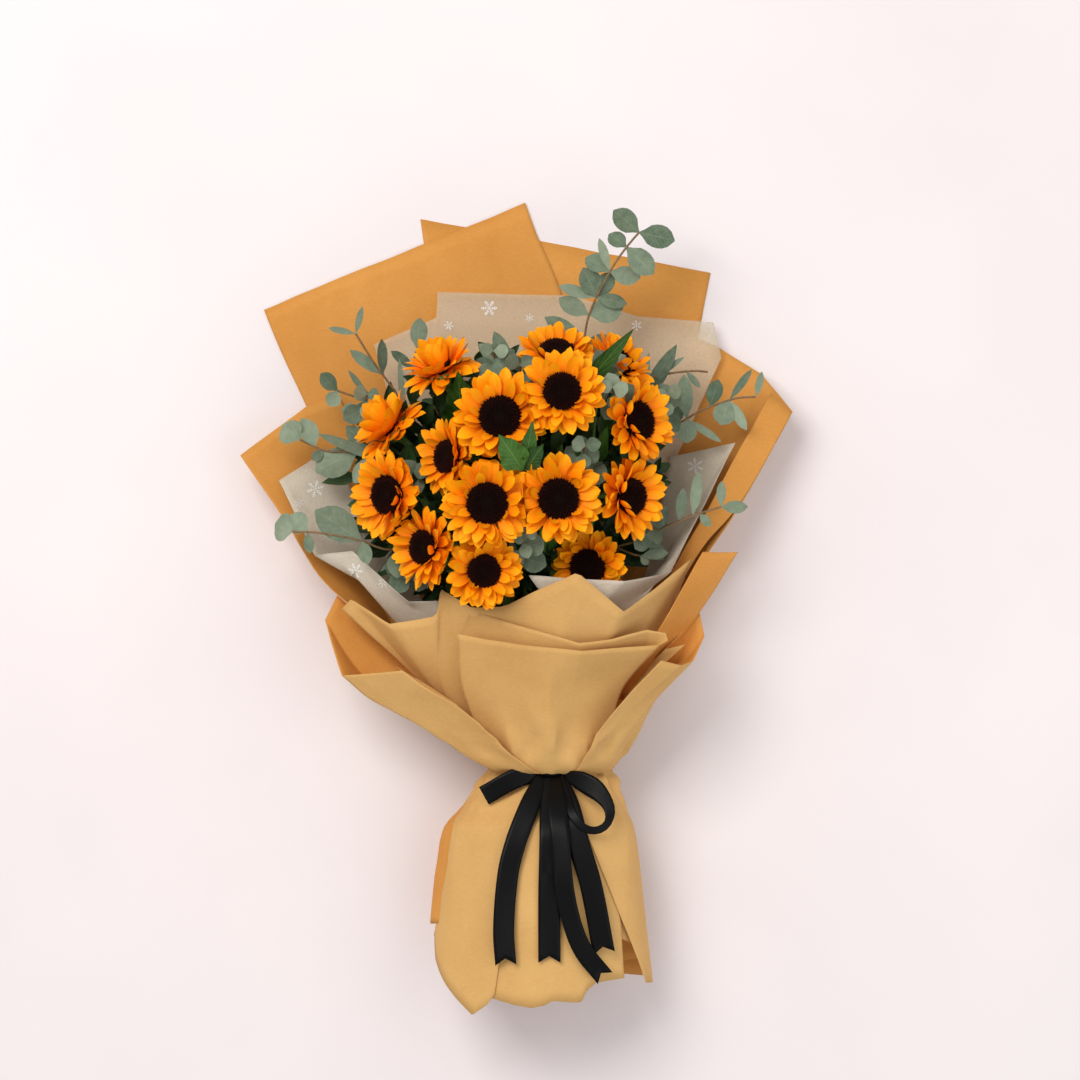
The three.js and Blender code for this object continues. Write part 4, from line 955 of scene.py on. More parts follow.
# %% Petal and bract rings
PETAL_RINGS = [
    dict(count=17, start=0.0, inset=-0.0014, height=-0.0064, lift=(-0.05, 0.22), reach=(0.98, 1.14),
         width=(0.84, 1.12), swing=0.12, closes=-0.35),
    dict(count=16, start=0.5, inset=-0.0016, height=-0.0048, lift=(0.16, 0.46), reach=(0.96, 1.14),
         width=(0.82, 1.10), swing=0.14, closes=0.3),
    dict(count=13, start=0.2, inset=-0.0018, height=-0.0032, lift=(0.42, 0.86), reach=(0.84, 1.06),
         width=(0.74, 1.02), swing=0.20, closes=0.9),
    dict(count=8, start=0.4, inset=-0.0019, height=-0.0020, lift=(0.78, 1.20), reach=(0.66, 0.90),
         width=(0.66, 0.90), swing=0.42, closes=1.4),
]
BRACT_RINGS = [
    dict(count=11, start=0.0, inset=-0.0050, height=-0.0110, lift=(0.25, 0.60), reach=(0.85, 1.0),
         width=(0.9, 1.1), swing=0.08, closes=0.0),
    dict(count=9, start=0.5, inset=-0.0085, height=-0.0135, lift=(0.15, 0.45), reach=(0.8, 1.0),
         width=(0.9, 1.1), swing=0.08, closes=0.0),
]
BRACT_OUTLINE = [(0, 0.8), (0.3, 1.0), (0.7, 0.5), (1, 0.03)]
BRACT_SHAPES = [dict(curl=0.9, sway=0.0, twist=0.0, cup=0.3),
                dict(curl=0.4, sway=0.05, twist=0.2, cup=0.2)]
BRACT_NET = {"rows": 6, "columns": 5}
petal_tree = ring_tree("petal rings", petal_shapes, PETAL_RINGS, petal_material)
bract_shapes = shapes_collection("bract_shape", BRACT_SHAPES, BRACT_OUTLINE, sunflower_leaf,
                                 **BRACT_NET)
bract_tree = ring_tree("bract rings", bract_shapes, BRACT_RINGS, sunflower_leaf)
print("rings of", [ring["count"] for ring in PETAL_RINGS], "petals")


# %% [markdown]
# ### Seed discs
# The florets of a sunflower grow one after another, each a golden angle further round and a
# little further out than the last, and that draws the two sets of spirals. The same rule is
# a short tree: the turn is the floret's number times the golden angle, and the distance from
# the middle is the square root of its share of the count, so all have the same room.

# %% Seed head tree
GOLDEN_ANGLE = math.pi * (3 - math.sqrt(5))
FLORET_COUNT = 330
FLORET_RINGS = ((0.5, -0.3, 0.0), (0.55, 0.45, 0.4), (0.22, 1.0, 1.0))  # radius, height, tone along


def floret_shape():
    """One floret: a small five-sided bud one unit high, open below."""
    sides, points, faces, along = 5, [], [], []
    for radius, z, part in FLORET_RINGS:
        turns = [2 * math.pi * s / sides for s in range(sides)]
        points += [(radius * math.cos(turn), radius * math.sin(turn), z) for turn in turns]
        along += [part] * sides
    for r in range(len(FLORET_RINGS) - 1):
        for s in range(sides):
            here, after = r * sides + s, r * sides + (s + 1) % sides
            faces.append((here, after, after + sides, here + sides))
    faces.append(tuple(range(len(points) - sides, len(points))))
    mesh = mesh_of("floret_shape", points, faces, [disc_material], along=along)
    thing = bpy.data.objects.new("floret_shape", mesh)
    scene.collection.objects.link(thing)
    return thing


def seed_head_tree(floret):
    """Florets in two spirals. They are small and close in the middle, tall near the rim."""
    nodes, given = new_tree("seed head", {"Disc radius": ("Float", 0.017), "Seed": ("Int", 1)})
    cloud = nodes.add("GeometryNodePoints", {"Count": FLORET_COUNT}).outputs[0]
    index = nodes.add("GeometryNodeInputIndex").outputs[0]
    share = nodes.math("DIVIDE", nodes.math("ADD", index, 0.5), float(FLORET_COUNT))
    part = nodes.math("SQRT", share)
    turn = nodes.math("MULTIPLY", index, GOLDEN_ANGLE)
    radius = nodes.math("MULTIPLY", part, nodes.math("MULTIPLY", given["Disc radius"], 0.97))
    hump = nodes.math("SINE", nodes.math("MULTIPLY", nodes.math("POWER", part, 1.4), math.pi))
    height = nodes.math("MULTIPLY_ADD", hump, 0.0022, nodes.math("MULTIPLY", part, -0.0008))
    spot = nodes.polar(turn, radius, height)
    points = nodes.add("GeometryNodeSetPosition", {"Geometry": cloud, "Position": spot}).outputs[0]
    seed = given["Seed"]
    size = nodes.math("MULTIPLY", nodes.math("MULTIPLY_ADD", part, 0.00045, 0.0012),
                      random_float(nodes, 0.8, 1.15, seed))
    tall = nodes.math("MULTIPLY", nodes.math("MULTIPLY_ADD", part, 0.0016, 0.0012),
                      random_float(nodes, 0.65, 1.3, nodes.math("ADD", seed, 5.0)))
    lean = nodes.vector(random_float(nodes, -0.3, 0.3, nodes.math("ADD", seed, 9.0)),
                        nodes.math("MULTIPLY_ADD", part, 0.75, -0.25), turn)
    shape = nodes.add("GeometryNodeObjectInfo", {"Object": floret}).outputs["Geometry"]
    placed = nodes.add("GeometryNodeInstanceOnPoints", {
        "Points": points, "Instance": shape, "Rotation": lean,
        "Scale": nodes.vector(size, size, tall)}).outputs[0]
    finish_tree(nodes, stored(nodes, placed, "rim", part), disc_material)
    return nodes.tree


floret = floret_shape()
seed_tree = seed_head_tree(floret)
print(FLORET_COUNT, "florets a disc")


# %% Many meshes as one
VALUE_NAMES = ("along", "across", "tone", "rim")


class Parts:
    """Collects nets of points and meshes, in metres, to be one mesh in the end."""

    def __init__(self):
        self.points, self.faces, self.slots, self.values, self.count = [], [], [], {}, 0

    def add(self, points, faces, slot=0, **values):
        points = np.asarray(points, dtype=float)
        self.faces += [tuple(int(v) + self.count for v in face) for face in faces]
        self.slots += [slot] * len(faces)
        for key in VALUE_NAMES:
            given = np.asarray(values.get(key, 0.0), dtype=float)
            self.values.setdefault(key, []).append(np.broadcast_to(given, (len(points),)))
        self.points.append(points)
        self.count += len(points)

    def add_mesh(self, mesh, move=None, slot=0):
        points = np.empty(len(mesh.vertices) * 3)
        mesh.vertices.foreach_get("co", points)
        points = points.reshape(-1, 3)
        values = {}
        for key in VALUE_NAMES:
            if key in mesh.attributes:
                values[key] = np.empty(len(mesh.vertices))
                mesh.attributes[key].data.foreach_get("value", values[key])
        faces = [tuple(face.vertices) for face in mesh.polygons]
        self.add(move(points) if move else points, faces, slot, **values)
        bpy.data.meshes.remove(mesh)

    def mesh(self, name, materials):
        values = {key: np.concatenate(parts) for key, parts in self.values.items()}
        mesh = mesh_of(name, np.concatenate(self.points), self.faces, materials, **values)
        mesh.polygons.foreach_set("material_index", self.slots)
        return closed_shells(mesh)


def lathe_net(rings, radius, sides):
    """Rings of points round the z axis in millimetres, from shares of a radius and heights."""
    turns = np.arange(sides) * 2 * math.pi / sides
    return np.array([[(part * radius * math.cos(a), part * radius * math.sin(a), z) for a in turns]
                     for part, z in rings])


# %% Petals pressed between the heads
# Heads closer than the range press on each other. The margin and the spread set how far the
# petals of one head pass the plane between two, by their tone, and the slide is how far they
# move up for it.
PRESS = {"range": 14, "tilt": 2, "margin": -2.5, "spread": 5.0, "slide": 0.6, "passes": 3}


def press_planes(head):
    """A point and a normal for the plane between this head and each head near it."""
    centre = np.array(head["at"], dtype=float)
    planes = []
    for other in HEADS:
        to_other = np.array(other["at"], dtype=float) - centre
        room = head["radius"] + other["radius"] + PRESS["range"]
        if other is head or np.linalg.norm(to_other) > room:
            continue
        share = head["radius"] / (head["radius"] + other["radius"])
        normal = to_other * (1, 1, PRESS["tilt"])
        planes.append((centre + to_other * share, normal / np.linalg.norm(normal)))
    return planes


def pressed(points, head, margins):
    """Points in metres that lie beyond a plane slide back onto it, and up along it."""
    moved = points / MM
    out = np.array(Vector(head["facing"]).normalized())
    for k in range(PRESS["passes"]):
        for point, normal in press_planes(head):
            past = np.maximum((moved - point) @ normal + margins, 0)[:, None]
            up = out - normal * (out @ normal)
            up /= np.linalg.norm(up)
            moved = moved - normal * past
            if k == 0:
                moved = moved + up * past * PRESS["slide"]
    return moved * MM


def in_head(head, points):
    matrix = np.array(head_matrix(head))
    return (points / MM @ matrix[:3, :3].T + matrix[:3, 3]) * MM


# %% Make the petals
PETAL_WIDTH = 11.4
USUAL_DISC = 17
PETAL_TUCK = 2.0
PETAL_SEED = 100
CEILING_SLOPE = 1.2


def under_ceiling(points, head):
    """Petals under the paper in front of them stay below it, and rise beyond its edge."""
    y, height = (value * MM for value in head["ceiling"])
    ceiling = height + np.maximum(points[:, 1] - y, 0) * CEILING_SLOPE
    points[:, 2] = np.minimum(points[:, 2], ceiling)
    return points


def petals(number, head):
    inner = head.get("bud", head["disc"])
    length = (head["radius"] - inner + PETAL_TUCK) * MM
    width = PETAL_WIDTH * MM * math.sqrt(head["disc"] / USUAL_DISC) * head.get("fullness", 1.0)
    mesh = grown(petal_tree, "petals", {
        "Disc radius": inner * MM, "Blade length": length, "Blade width": width,
        "Closing": head.get("closing", 0.0), "Seed": PETAL_SEED + number})
    tone = np.empty(len(mesh.vertices))
    mesh.attributes["tone"].data.foreach_get("value", tone)

    def placed(points):
        points = pressed(in_head(head, points), head, PRESS["margin"] + PRESS["spread"] * tone)
        return under_ceiling(points, head) if "ceiling" in head else points

    parts = Parts()
    parts.add_mesh(mesh, placed)
    name = f"sunflower_{number:02d}_petals"
    return piece("bloom_" + name, parts.mesh("bloom_" + name, [petal_material]), "petal", name)


# %% Make the discs
DISC_RINGS = ((0.0, 0.0), (0.3, 0.6), (0.6, 1.4), (0.85, 0.9), (0.97, -0.6), (0.97, -6.5),
              (0.0, -6.5))
DISC_SIDES = 24
DISC_SEED = 300


def seed_disc(number, head):
    """The florets on a low cushion that closes the disc below."""
    parts = Parts()
    inner = head.get("bud", head["disc"])
    mesh = grown(seed_tree, "florets", {"Disc radius": inner * MM, "Seed": DISC_SEED + number})
    parts.add_mesh(mesh, lambda points: in_head(head, points))
    net = lathe_net(DISC_RINGS, inner, DISC_SIDES) * MM
    parts.add(in_head(head, net.reshape(-1, 3)), ring_faces(len(net), DISC_SIDES), rim=0.5)
    name = f"sunflower_{number:02d}_disc"
    return piece("bloom_" + name, parts.mesh("bloom_" + name, [disc_material]), "disc", name)


for number, head in enumerate(HEADS, 1):
    ray, disc = petals(number, head), seed_disc(number, head)
print("a head:", len(ray.data.polygons), "petal faces,", len(disc.data.polygons), "disc faces")
drop_collection(petal_shapes)
bpy.data.objects.remove(floret)

# %% [markdown]
# ## Stems
# Behind each disc sits a green cup with pointed bracts, which narrows into a ribbed stem. The
# stems are hidden for most of their way down to the tie, so each follows the middle of its
# own solid: the solid is cut across at a few heights, and a round tube is drawn through the
# middles. The leaves on the stems are broad and pointed, with a sunk midrib.

# %% The way of a stem, in millimetres
# The stations are the heights y of the cuts. Each is moved aside a little, because the solid
# has corners at the stations themselves. A section's reach is in stem radii. The neck is the
# bend behind a head: it is long where the head faces up.
STEM_RADIUS = 3.4
STATIONS = (-285, -144, -85, -20, 36, 68, 100)
CUT_ASIDE = 0.4
CUTS_BETWEEN = 14
SECTION_REACH = 2.6
NECK = {"short": 30, "long": 58, "head_room": 16, "back": 18}
COURSE_STEPS = 12


def solid_net(name):
    """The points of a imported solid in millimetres, and its edges."""
    solid = frame["nodes"][name].data
    points = np.array([v.co for v in solid.vertices]) / MM
    return points, np.array([e.vertices for e in solid.edges])


def section_middle(solid, y, near):
    """The middle of a solid's section at a height y, close to a known point."""
    points, edges = solid
    first, second = points[edges[:, 0]], points[edges[:, 1]]
    crossing = (first[:, 1] - y) * (second[:, 1] - y) < 0
    first, second = first[crossing], second[crossing]
    cuts = first + (second - first) * ((y - first[:, 1]) / (second[:, 1] - first[:, 1]))[:, None]
    if near is not None:
        cuts = cuts[np.linalg.norm((cuts - near)[:, ::2], axis=1) < SECTION_REACH * STEM_RADIUS]
    return (cuts.min(axis=0) + cuts.max(axis=0)) / 2


def stem_course(number, head):
    """Points down the middle of a stem, from its cut end up to the back of its head."""
    solid = solid_net(f"sunflower_{number:02d}_stem")
    out = Vector(head["facing"]).normalized()
    at = Vector(head["at"])
    bend = at - out * (NECK["short"] + (NECK["long"] - NECK["short"]) * out.z ** 2)
    heights = [y for y in STATIONS if y < bend.y - NECK["head_room"]]
    course, near = [], None
    for below, y in zip([None] + heights, heights):
        aside = CUT_ASIDE if near is None else -CUT_ASIDE
        if near is not None:
            for between in np.linspace(below, y, CUTS_BETWEEN)[1:-1]:
                near = section_middle(solid, between, near)
        near = section_middle(solid, y + aside, near)
        course.append(Vector(near))
    return course + [bend, at - out * NECK["back"]]


def smooth_course(points, count):
    """Evenly spaced points on a smooth curve through a few points."""
    columns = np.array([[tuple(p)] for p in points], dtype=float)
    dense = smooth_between(columns, COURSE_STEPS)[:, 0]
    run = np.concatenate([[0], np.cumsum(np.linalg.norm(np.diff(dense, axis=0), axis=1))])
    places = np.linspace(0, run[-1], count)
    return np.stack([np.interp(places, run, dense[:, k]) for k in range(3)], axis=-1)


# %% Tube tree
def line_mesh(name, courses):
    """Courses in metres as chains of edges."""
    points, edges, first = [], [], 0
    for course in courses:
        points += [tuple(p) for p in course]
        edges += [(first + k, first + k + 1) for k in range(len(course) - 1)]
        first += len(course)
    mesh = bpy.data.meshes.new(name)
    mesh.from_pydata(points, edges, [])
    return mesh


def tube_along(nodes, curve, sides, radius):
    """A round tube with closed ends along a curve."""
    inputs = {"Resolution": sides, "Radius": radius}
    ring = nodes.add("GeometryNodeCurvePrimitiveCircle", inputs).outputs[0]
    inputs = {"Curve": curve, "Profile Curve": ring, "Fill Caps": True}
    return nodes.add("GeometryNodeCurveToMesh", inputs).outputs[0]


def tube_tree():
    """Draws a round tube along every chain of edges."""
    nodes, given = new_tree("tubes", {"Radius": ("Float", 0.003), "Sides": ("Int", 12),
                                      "Finish": ("Material",)}, start=True)
    curve = nodes.add("GeometryNodeMeshToCurve", {0: given["Geometry"]}).outputs[0]
    part = nodes.add("GeometryNodeSplineParameter").outputs["Factor"]
    kept = stored(nodes, curve, "along", part, domain="POINT")
    tube = tube_along(nodes, kept, given["Sides"], given["Radius"])
    finish_tree(nodes, tube, given["Finish"])
    return nodes.tree


tubes = tube_tree()
courses = [stem_course(number, head) for number, head in enumerate(HEADS, 1)]
lengths = [round(sum((b - a).length for a, b in zip(c, c[1:]))) for c in courses]
print("stem lengths in mm:", lengths)

# %% A leaf
LEAF_OUTLINE = [(0, 0.10), (0.06, 0.12), (0.12, 0.5), (0.3, 0.95), (0.45, 1.0), (0.7, 0.72),
                (0.9, 0.28), (1, 0.03)]
LEAF_NET = {"rows": 15, "columns": 9}
LEAF_WAVE = {"count": 21, "height": 0.05}


def leaf_frame(root, tip, roll=0.0):
    """Axes of a leaf: along it, across it and up from it."""
    along = (tip - root).normalized()
    side = Vector((0, 0, 1)).cross(along).normalized()
    side = Matrix.Rotation(roll, 3, along) @ side
    return Matrix((along, side, along.cross(side))).transposed()


def single_leaf(parts, root, tip, width, slot, seed):
    """A broad leaf with its own bend, wave and tone, from root to tip in millimetres."""
    chance = random.Random(seed)
    shape = dict(curl=chance.uniform(-0.9, -0.3), sway=chance.uniform(-0.08, 0.08),
                 twist=chance.uniform(-0.3, 0.3), cup=0.32)
    points, faces, along, across = bent_blade(shape, LEAF_OUTLINE, **LEAF_NET, groove=0.0)
    points = np.array(points)
    wave = np.sin(np.array(along) * LEAF_WAVE["count"] + chance.uniform(0, 6)) * np.abs(across) ** 2
    points[:, 2] += LEAF_WAVE["height"] * wave
    # The curl makes the tip sink, so the blade is turned and stretched until it ends at (1, 0).
    end = points[-1 - LEAF_NET["columns"] // 2]
    sink, reach = math.atan2(end[2], end[0]), math.hypot(end[0], end[2])
    level = np.array(((math.cos(sink), 0, math.sin(sink)), (0, reach, 0),
                      (-math.sin(sink), 0, math.cos(sink)))) / reach
    points = points @ level.T
    turn = np.array(leaf_frame(root, tip))
    points = points * ((tip - root).length, width, width) @ turn.T + root
    parts.add(points * MM, faces, slot, along=along, across=across, tone=chance.random())


# %% Make the stems
CUP_RINGS = [(0.0, -7.0), (1.02, -7.0), (0.98, -9.5), (0.74, -12.5), (0.42, -15.5), (0.24, -19),
             (0.2, -24), (0.0, -25)]
CUP_SIDES = 20
BRACT = {"length": 0.017, "width": 0.008, "seed": 200, "margin": 3.0}
STEM_TUBE = {"sides": 10, "points": 48}
STALK = {"radius": 1.2, "sides": 6, "points": 8}
LEAF_SLOT = 1
ROOT_POINTS = 200


def add_tube(parts, course, radius, sides, points):
    line = line_mesh("tube", [smooth_course(course, points) * MM])
    parts.add_mesh(grown(tubes, "tube", {"start": line, "Radius": radius * MM, "Sides": sides,
                                         "Finish": stem_material}))


def stem(number, head, course):
    """The stem, the cup and the bracts behind the head, and the leaves with their stalks."""
    parts = Parts()
    add_tube(parts, course, STEM_RADIUS, **STEM_TUBE)
    net = lathe_net(CUP_RINGS, head["disc"], CUP_SIDES) * MM
    parts.add(in_head(head, net.reshape(-1, 3)), ring_faces(len(net), CUP_SIDES), tone=0.5)
    bracts = grown(bract_tree, "bracts", {
        "Disc radius": head["disc"] * MM, "Blade length": BRACT["length"],
        "Blade width": BRACT["width"], "Seed": BRACT["seed"] + number})

    def placed(points):
        return pressed(in_head(head, points), head, BRACT["margin"])

    parts.add_mesh(bracts, placed, LEAF_SLOT)
    for k, (y, *rest) in enumerate(head["leaves"]):
        tip, width, stalk_top = Vector(rest[:3]), rest[3], rest[4:]
        curve = smooth_course(course, ROOT_POINTS)
        root = Vector(curve[np.argmin(np.abs(curve[:, 1] - y))])
        if stalk_top:
            top = Vector(stalk_top)
            add_tube(parts, [root, root.lerp(top, 0.5), top], **STALK)
            root = top
        single_leaf(parts, root, tip, width, LEAF_SLOT, 10 * number + k)
    name = f"sunflower_{number:02d}_stem"
    mesh = parts.mesh("green_" + name, [stem_material, sunflower_leaf])
    return piece("green_" + name, mesh, "stem", name)


for number, (head, course) in enumerate(zip(HEADS, courses), 1):
    made = stem(number, head, course)
drop_collection(bract_shapes)
print("a stem:", len(made.data.polygons), "faces")

# %% [markdown]
# ## Eucalyptus and filler leaves
# Eucalyptus carries round, dull, grey-green leaves on thin reddish twigs. Each twig is a short
# list of points, and each leaf is given by its place on the twig, its tip and its width. A
# Geometry Nodes tree draws the twigs and sets a leaf shape on every leaf point. Dark leafy
# twigs fill the room below the heads: those are set at random, with a fixed seed. Their dark
# green is partly their own and partly painted shade in the gaps between the heads.

# %% Sprigs, in millimetres
# A leaf is: part of the way along its twig, tip x, y and z, width.
SPRIGS = {
    "foliage_top": [
        dict(path=[[48, 150, 62], [60, 215, 66], [64, 255, 74], [74, 281, 80], [86, 303, 84],
                   [99, 322, 86], [111, 336, 88]],
             leaves=[[1, 87, 355, 94, 17], [1, 143, 328, 92, 18], [0.93, 84, 336, 82, 13],
                     [0.9, 125, 299, 92, 18], [0.8, 113, 294, 82, 15], [0.79, 75, 331, 92, 7],
                     [0.79, 63, 316, 80, 17], [0.67, 62, 305, 86, 18], [0.67, 100, 271, 88, 11],
                     [0.67, 86, 301, 78, 14], [0.57, 97, 270, 82, 20], [0.57, 38, 277, 82, 14],
                     [0.67, 38, 287, 88, 9], [0.45, 26, 262, 72, 14], [0.4, 84, 244, 84, 13]]),
        dict(path=[[48, 150, 62], [20, 190, 74], [-6, 212, 88]],
             leaves=[[1, -33, 236, 96, 13], [0.95, -20, 247, 84, 12], [0.9, 8, 231, 92, 9]]),
    ],
    "foliage_left": [
        dict(path=[[-60, 60, 56], [-95, 150, 62], [-109, 192, 66], [-114, 199, 68], [-130, 221, 72],
                   [-145, 245, 76]],
             leaves=[[1, -139, 270, 80, 5], [1, -170, 250, 78, 5], [0.8, -121, 240, 84, 8],
                     [0.8, -151, 230, 70, 9], [0.58, -106, 223, 74, 5], [0.58, -142, 195, 74, 5]]),
        dict(path=[[-95, 150, 62], [-119, 182, 58], [-144, 188, 56], [-162, 194, 56]],
             leaves=[[1, -178, 209, 60, 12], [1, -170, 180, 58, 12], [0.65, -152, 213, 66, 5],
                     [0.65, -154, 170, 60, 5]]),
        dict(path=[[-95, 150, 62], [-94, 190, 60], [-93, 219, 62], [-90, 232, 62]],
             leaves=[[1, -88, 260, 66, 14], [0.8, -113, 230, 68, 8], [0.8, -70, 223, 66, 7]]),
        dict(path=[[-60, 60, 56], [-110, 125, 76], [-150, 138, 80], [-172, 139, 80],
                   [-195, 149, 78]],
             leaves=[[1, -211, 163, 80, 20], [0.92, -193, 170, 76, 15], [0.88, -184, 130, 82, 8],
                     [0.7, -181, 119, 78, 22], [0.55, -154, 162, 76, 15], [0.5, -179, 154, 92, 8],
                     [0.55, -148, 112, 88, 18]]),
        dict(path=[[-60, 60, 56], [-100, 52, 96], [-117, 50, 104], [-143, 59, 108], [-178, 65, 106],
                   [-201, 66, 100]],
             leaves=[[1, -217.5, 72, 102, 22], [0.9, -204, 80, 100, 17], [0.9, -186, 46, 100, 8],
                     [0.62, -181, 84, 116, 26], [0.6, -133, 37, 116, 11], [0.4, -106, 24, 110, 16],
                     [0.25, -90, 18, 108, 6], [0.3, -122, 30, 104, 5], [0.18, -80, 14, 112, 5]]),
    ],
    "foliage_right": [
        dict(path=[[66, 40, 50], [96, 130, 52], [118, 202, 56], [136, 209, 60], [163, 212, 60],
                   [174, 211, 60]],
             leaves=[[0.45, 122, 230, 62, 11], [0.6, 145, 236, 64, 13], [0.6, 147, 184, 66, 5],
                     [0.75, 153, 225, 64, 5], [0.9, 167, 197, 62, 5], [0.48, 142, 190, 52, 14]]),
        dict(path=[[96, 130, 52], [130, 158, 62], [149, 165, 70], [164, 174, 72], [181, 181, 72],
                   [200, 187, 72], [217, 188, 70]],
             leaves=[[0.5, 152, 208, 78, 12], [0.45, 148, 181, 64, 9], [0.5, 156, 146, 72, 15],
                     [0.5, 186, 147, 74, 6], [0.68, 182, 204, 76, 12], [0.84, 186, 162, 78, 17],
                     [0.84, 213, 213, 74, 6], [0.84, 209, 158, 76, 8], [1, 223, 211, 70, 6]]),
        dict(path=[[66, 40, 50], [90, 52, 88], [117, 60, 104], [134, 70, 108], [161, 81, 112],
                   [184, 88, 112]],
             leaves=[[0.6, 135, 89, 114, 7], [0.58, 118, 53, 118, 16], [0.75, 151, 105, 110, 9],
                     [0.82, 165, 121, 106, 9], [0.85, 175, 71, 116, 7], [1, 185, 112, 112, 7],
                     [1, 208, 89, 114, 10]]),
        dict(path=[[90, 52, 88], [104, 46, 98], [112, 44, 102]],
             leaves=[[1, 137, 47, 108, 8], [1, 119, 36, 98, 6]]),
    ],
}

counts = [sum(len(twig["leaves"]) for twig in plan) for plan in SPRIGS.values()]
print("leaves on each sprig:", counts)

# %% Foliage finishes and shapes
eucalyptus_material = leaf_finish("eucalyptus", linear(142, 156, 132), linear(74, 94, 72),
                                  linear(160, 172, 146), 0.66, 0.3)
# The filler leaves' green is partly their own and partly painted shade in the gaps between the
# heads.
filler_leaf_and_shade = leaf_finish("filler_leaf", linear(52, 84, 38), linear(20, 40, 18),
                              linear(78, 106, 58), 0.5)


def twig_finish():
    finish = Finish("twig", Roughness=0.6)
    grain = finish.speckle(finish.place(), 300.0, 3.0)
    finish.colour(finish.ramp(grain, (0.35, linear(104, 88, 52)), (0.65, linear(142, 104, 70))))
    finish.relief(grain, 0.3, 0.0005)
    return finish.material


twig_material = twig_finish()
ROUND_OUTLINE = [(0, 0.05), (0.10, 0.06), (0.15, 0.42), (0.3, 0.82), (0.5, 1.0), (0.7, 0.93),
                 (0.88, 0.6), (0.96, 0.3), (1, 0.06)]
ROUND_SHAPES = [dict(curl=-0.3, sway=0.03, twist=0.1, cup=0.14),
                dict(curl=0.3, sway=-0.03, twist=-0.15, cup=0.10),
                dict(curl=-0.5, sway=0.04, twist=0.25, cup=0.18),
                dict(curl=0.1, sway=-0.05, twist=-0.25, cup=-0.10)]
ROUND_FULLNESS = 1.25
SLIM_OUTLINE = [(0, 0.08), (0.12, 0.3), (0.4, 1.0), (0.6, 0.9), (0.85, 0.45), (1, 0.03)]
SLIM_SHAPES = [dict(curl=-0.8, sway=0.06, twist=0.2, cup=0.4),
               dict(curl=-0.3, sway=-0.05, twist=-0.4, cup=0.3),
               dict(curl=0.3, sway=0.03, twist=0.3, cup=0.35)]
FOLIAGE_NET = {"rows": 8, "columns": 5}
round_shapes = shapes_collection("round_leaf", ROUND_SHAPES, ROUND_OUTLINE, eucalyptus_material,
                                 **FOLIAGE_NET, groove=0.0)
slim_shapes = shapes_collection("slim_leaf", SLIM_SHAPES, SLIM_OUTLINE, filler_leaf_and_shade,
                                **FOLIAGE_NET, groove=0.0)
print(len(ROUND_SHAPES), "round and", len(SLIM_SHAPES), "slim leaf shapes")


# %% Sprig tree
TWIG_SIDES = 6


def sprig_tree(shapes):
    """Twigs along chains of edges, and a leaf on each loose point that is marked as one."""
    nodes, given = new_tree("sprigs", {"Twig radius": ("Float", 0.001), "Leaves": ("Collection",),
                                       "Seed": ("Int", 1)}, start=True)

    def marked(name, kind):
        node = nodes.add("GeometryNodeInputNamedAttribute", {"Name": name}, data_type=kind)
        return node.outputs[0]

    curve = nodes.add("GeometryNodeMeshToCurve", {0: given["Geometry"]}).outputs[0]
    bare = tube_along(nodes, curve, TWIG_SIDES, given["Twig radius"])
    twigs = stored(nodes, bare, "bark", True, "FACE", "BOOLEAN")
    inputs = {"Mesh": given["Geometry"], "Selection": marked("leaf", "BOOLEAN")}
    spots = nodes.add("GeometryNodeMeshToPoints", inputs).outputs[0]
    pick = random_pick(nodes, shapes, given["Seed"])
    placed = set_shapes(nodes, spots, given["Leaves"], pick, marked("turn", "FLOAT_VECTOR"),
                        marked("size", "FLOAT_VECTOR"))
    tone = random_float(nodes, 0.0, 1.0, nodes.math("ADD", given["Seed"], 3.0))
    joined = nodes.add("GeometryNodeJoinGeometry", {0: twigs})
    nodes.tree.links.new(stored(nodes, placed, "tone", tone), joined.inputs[0])
    finish_tree(nodes, joined.outputs[0], twig_material, marked("bark", "BOOLEAN"))
    return nodes.tree


def sprig_mesh(courses, leaves):
    """Chains of edges for the twigs, and loose points for the leaves: root, tip, width, roll."""
    mesh = line_mesh("sprigs", courses)
    chained = len(mesh.vertices)
    mesh.vertices.add(len(leaves))
    for vertex, (root, tip, width, roll) in zip(mesh.vertices[chained:], leaves):
        vertex.co = root * MM
    for key, kind in (("leaf", "BOOLEAN"), ("turn", "FLOAT_VECTOR"), ("size", "FLOAT_VECTOR")):
        mesh.attributes.new(key, kind, "POINT")
    for k, (root, tip, width, roll) in enumerate(leaves, chained):
        mesh.attributes["leaf"].data[k].value = True
        mesh.attributes["turn"].data[k].vector = leaf_frame(root, tip, roll).to_euler()
        mesh.attributes["size"].data[k].vector = Vector(((tip - root).length, width, width)) * MM
    return mesh


# %% Make the eucalyptus
TWIG = {"radius": 0.0010, "points": 24, "leaf_roll": 0.35}
TRUNK = {"top": 30, "cuts": 22, "points": 60}
SPRIG_SEED = 400
sprigs = sprig_tree(len(ROUND_SHAPES))


def trunk_course(name, bend):
    """The sprig's own stem, down the middle of its solid from its cut end to its first twigs."""
    solid, trunk, near = solid_net(name), [], None
    top = min(bend.y - NECK["head_room"], TRUNK["top"])
    for y in np.linspace(STATIONS[0] + CUT_ASIDE, top, TRUNK["cuts"]):
        near = section_middle(solid, y, near)
        trunk.append(tuple(near))
    return smooth_course(trunk + [tuple(bend)], TRUNK["points"])


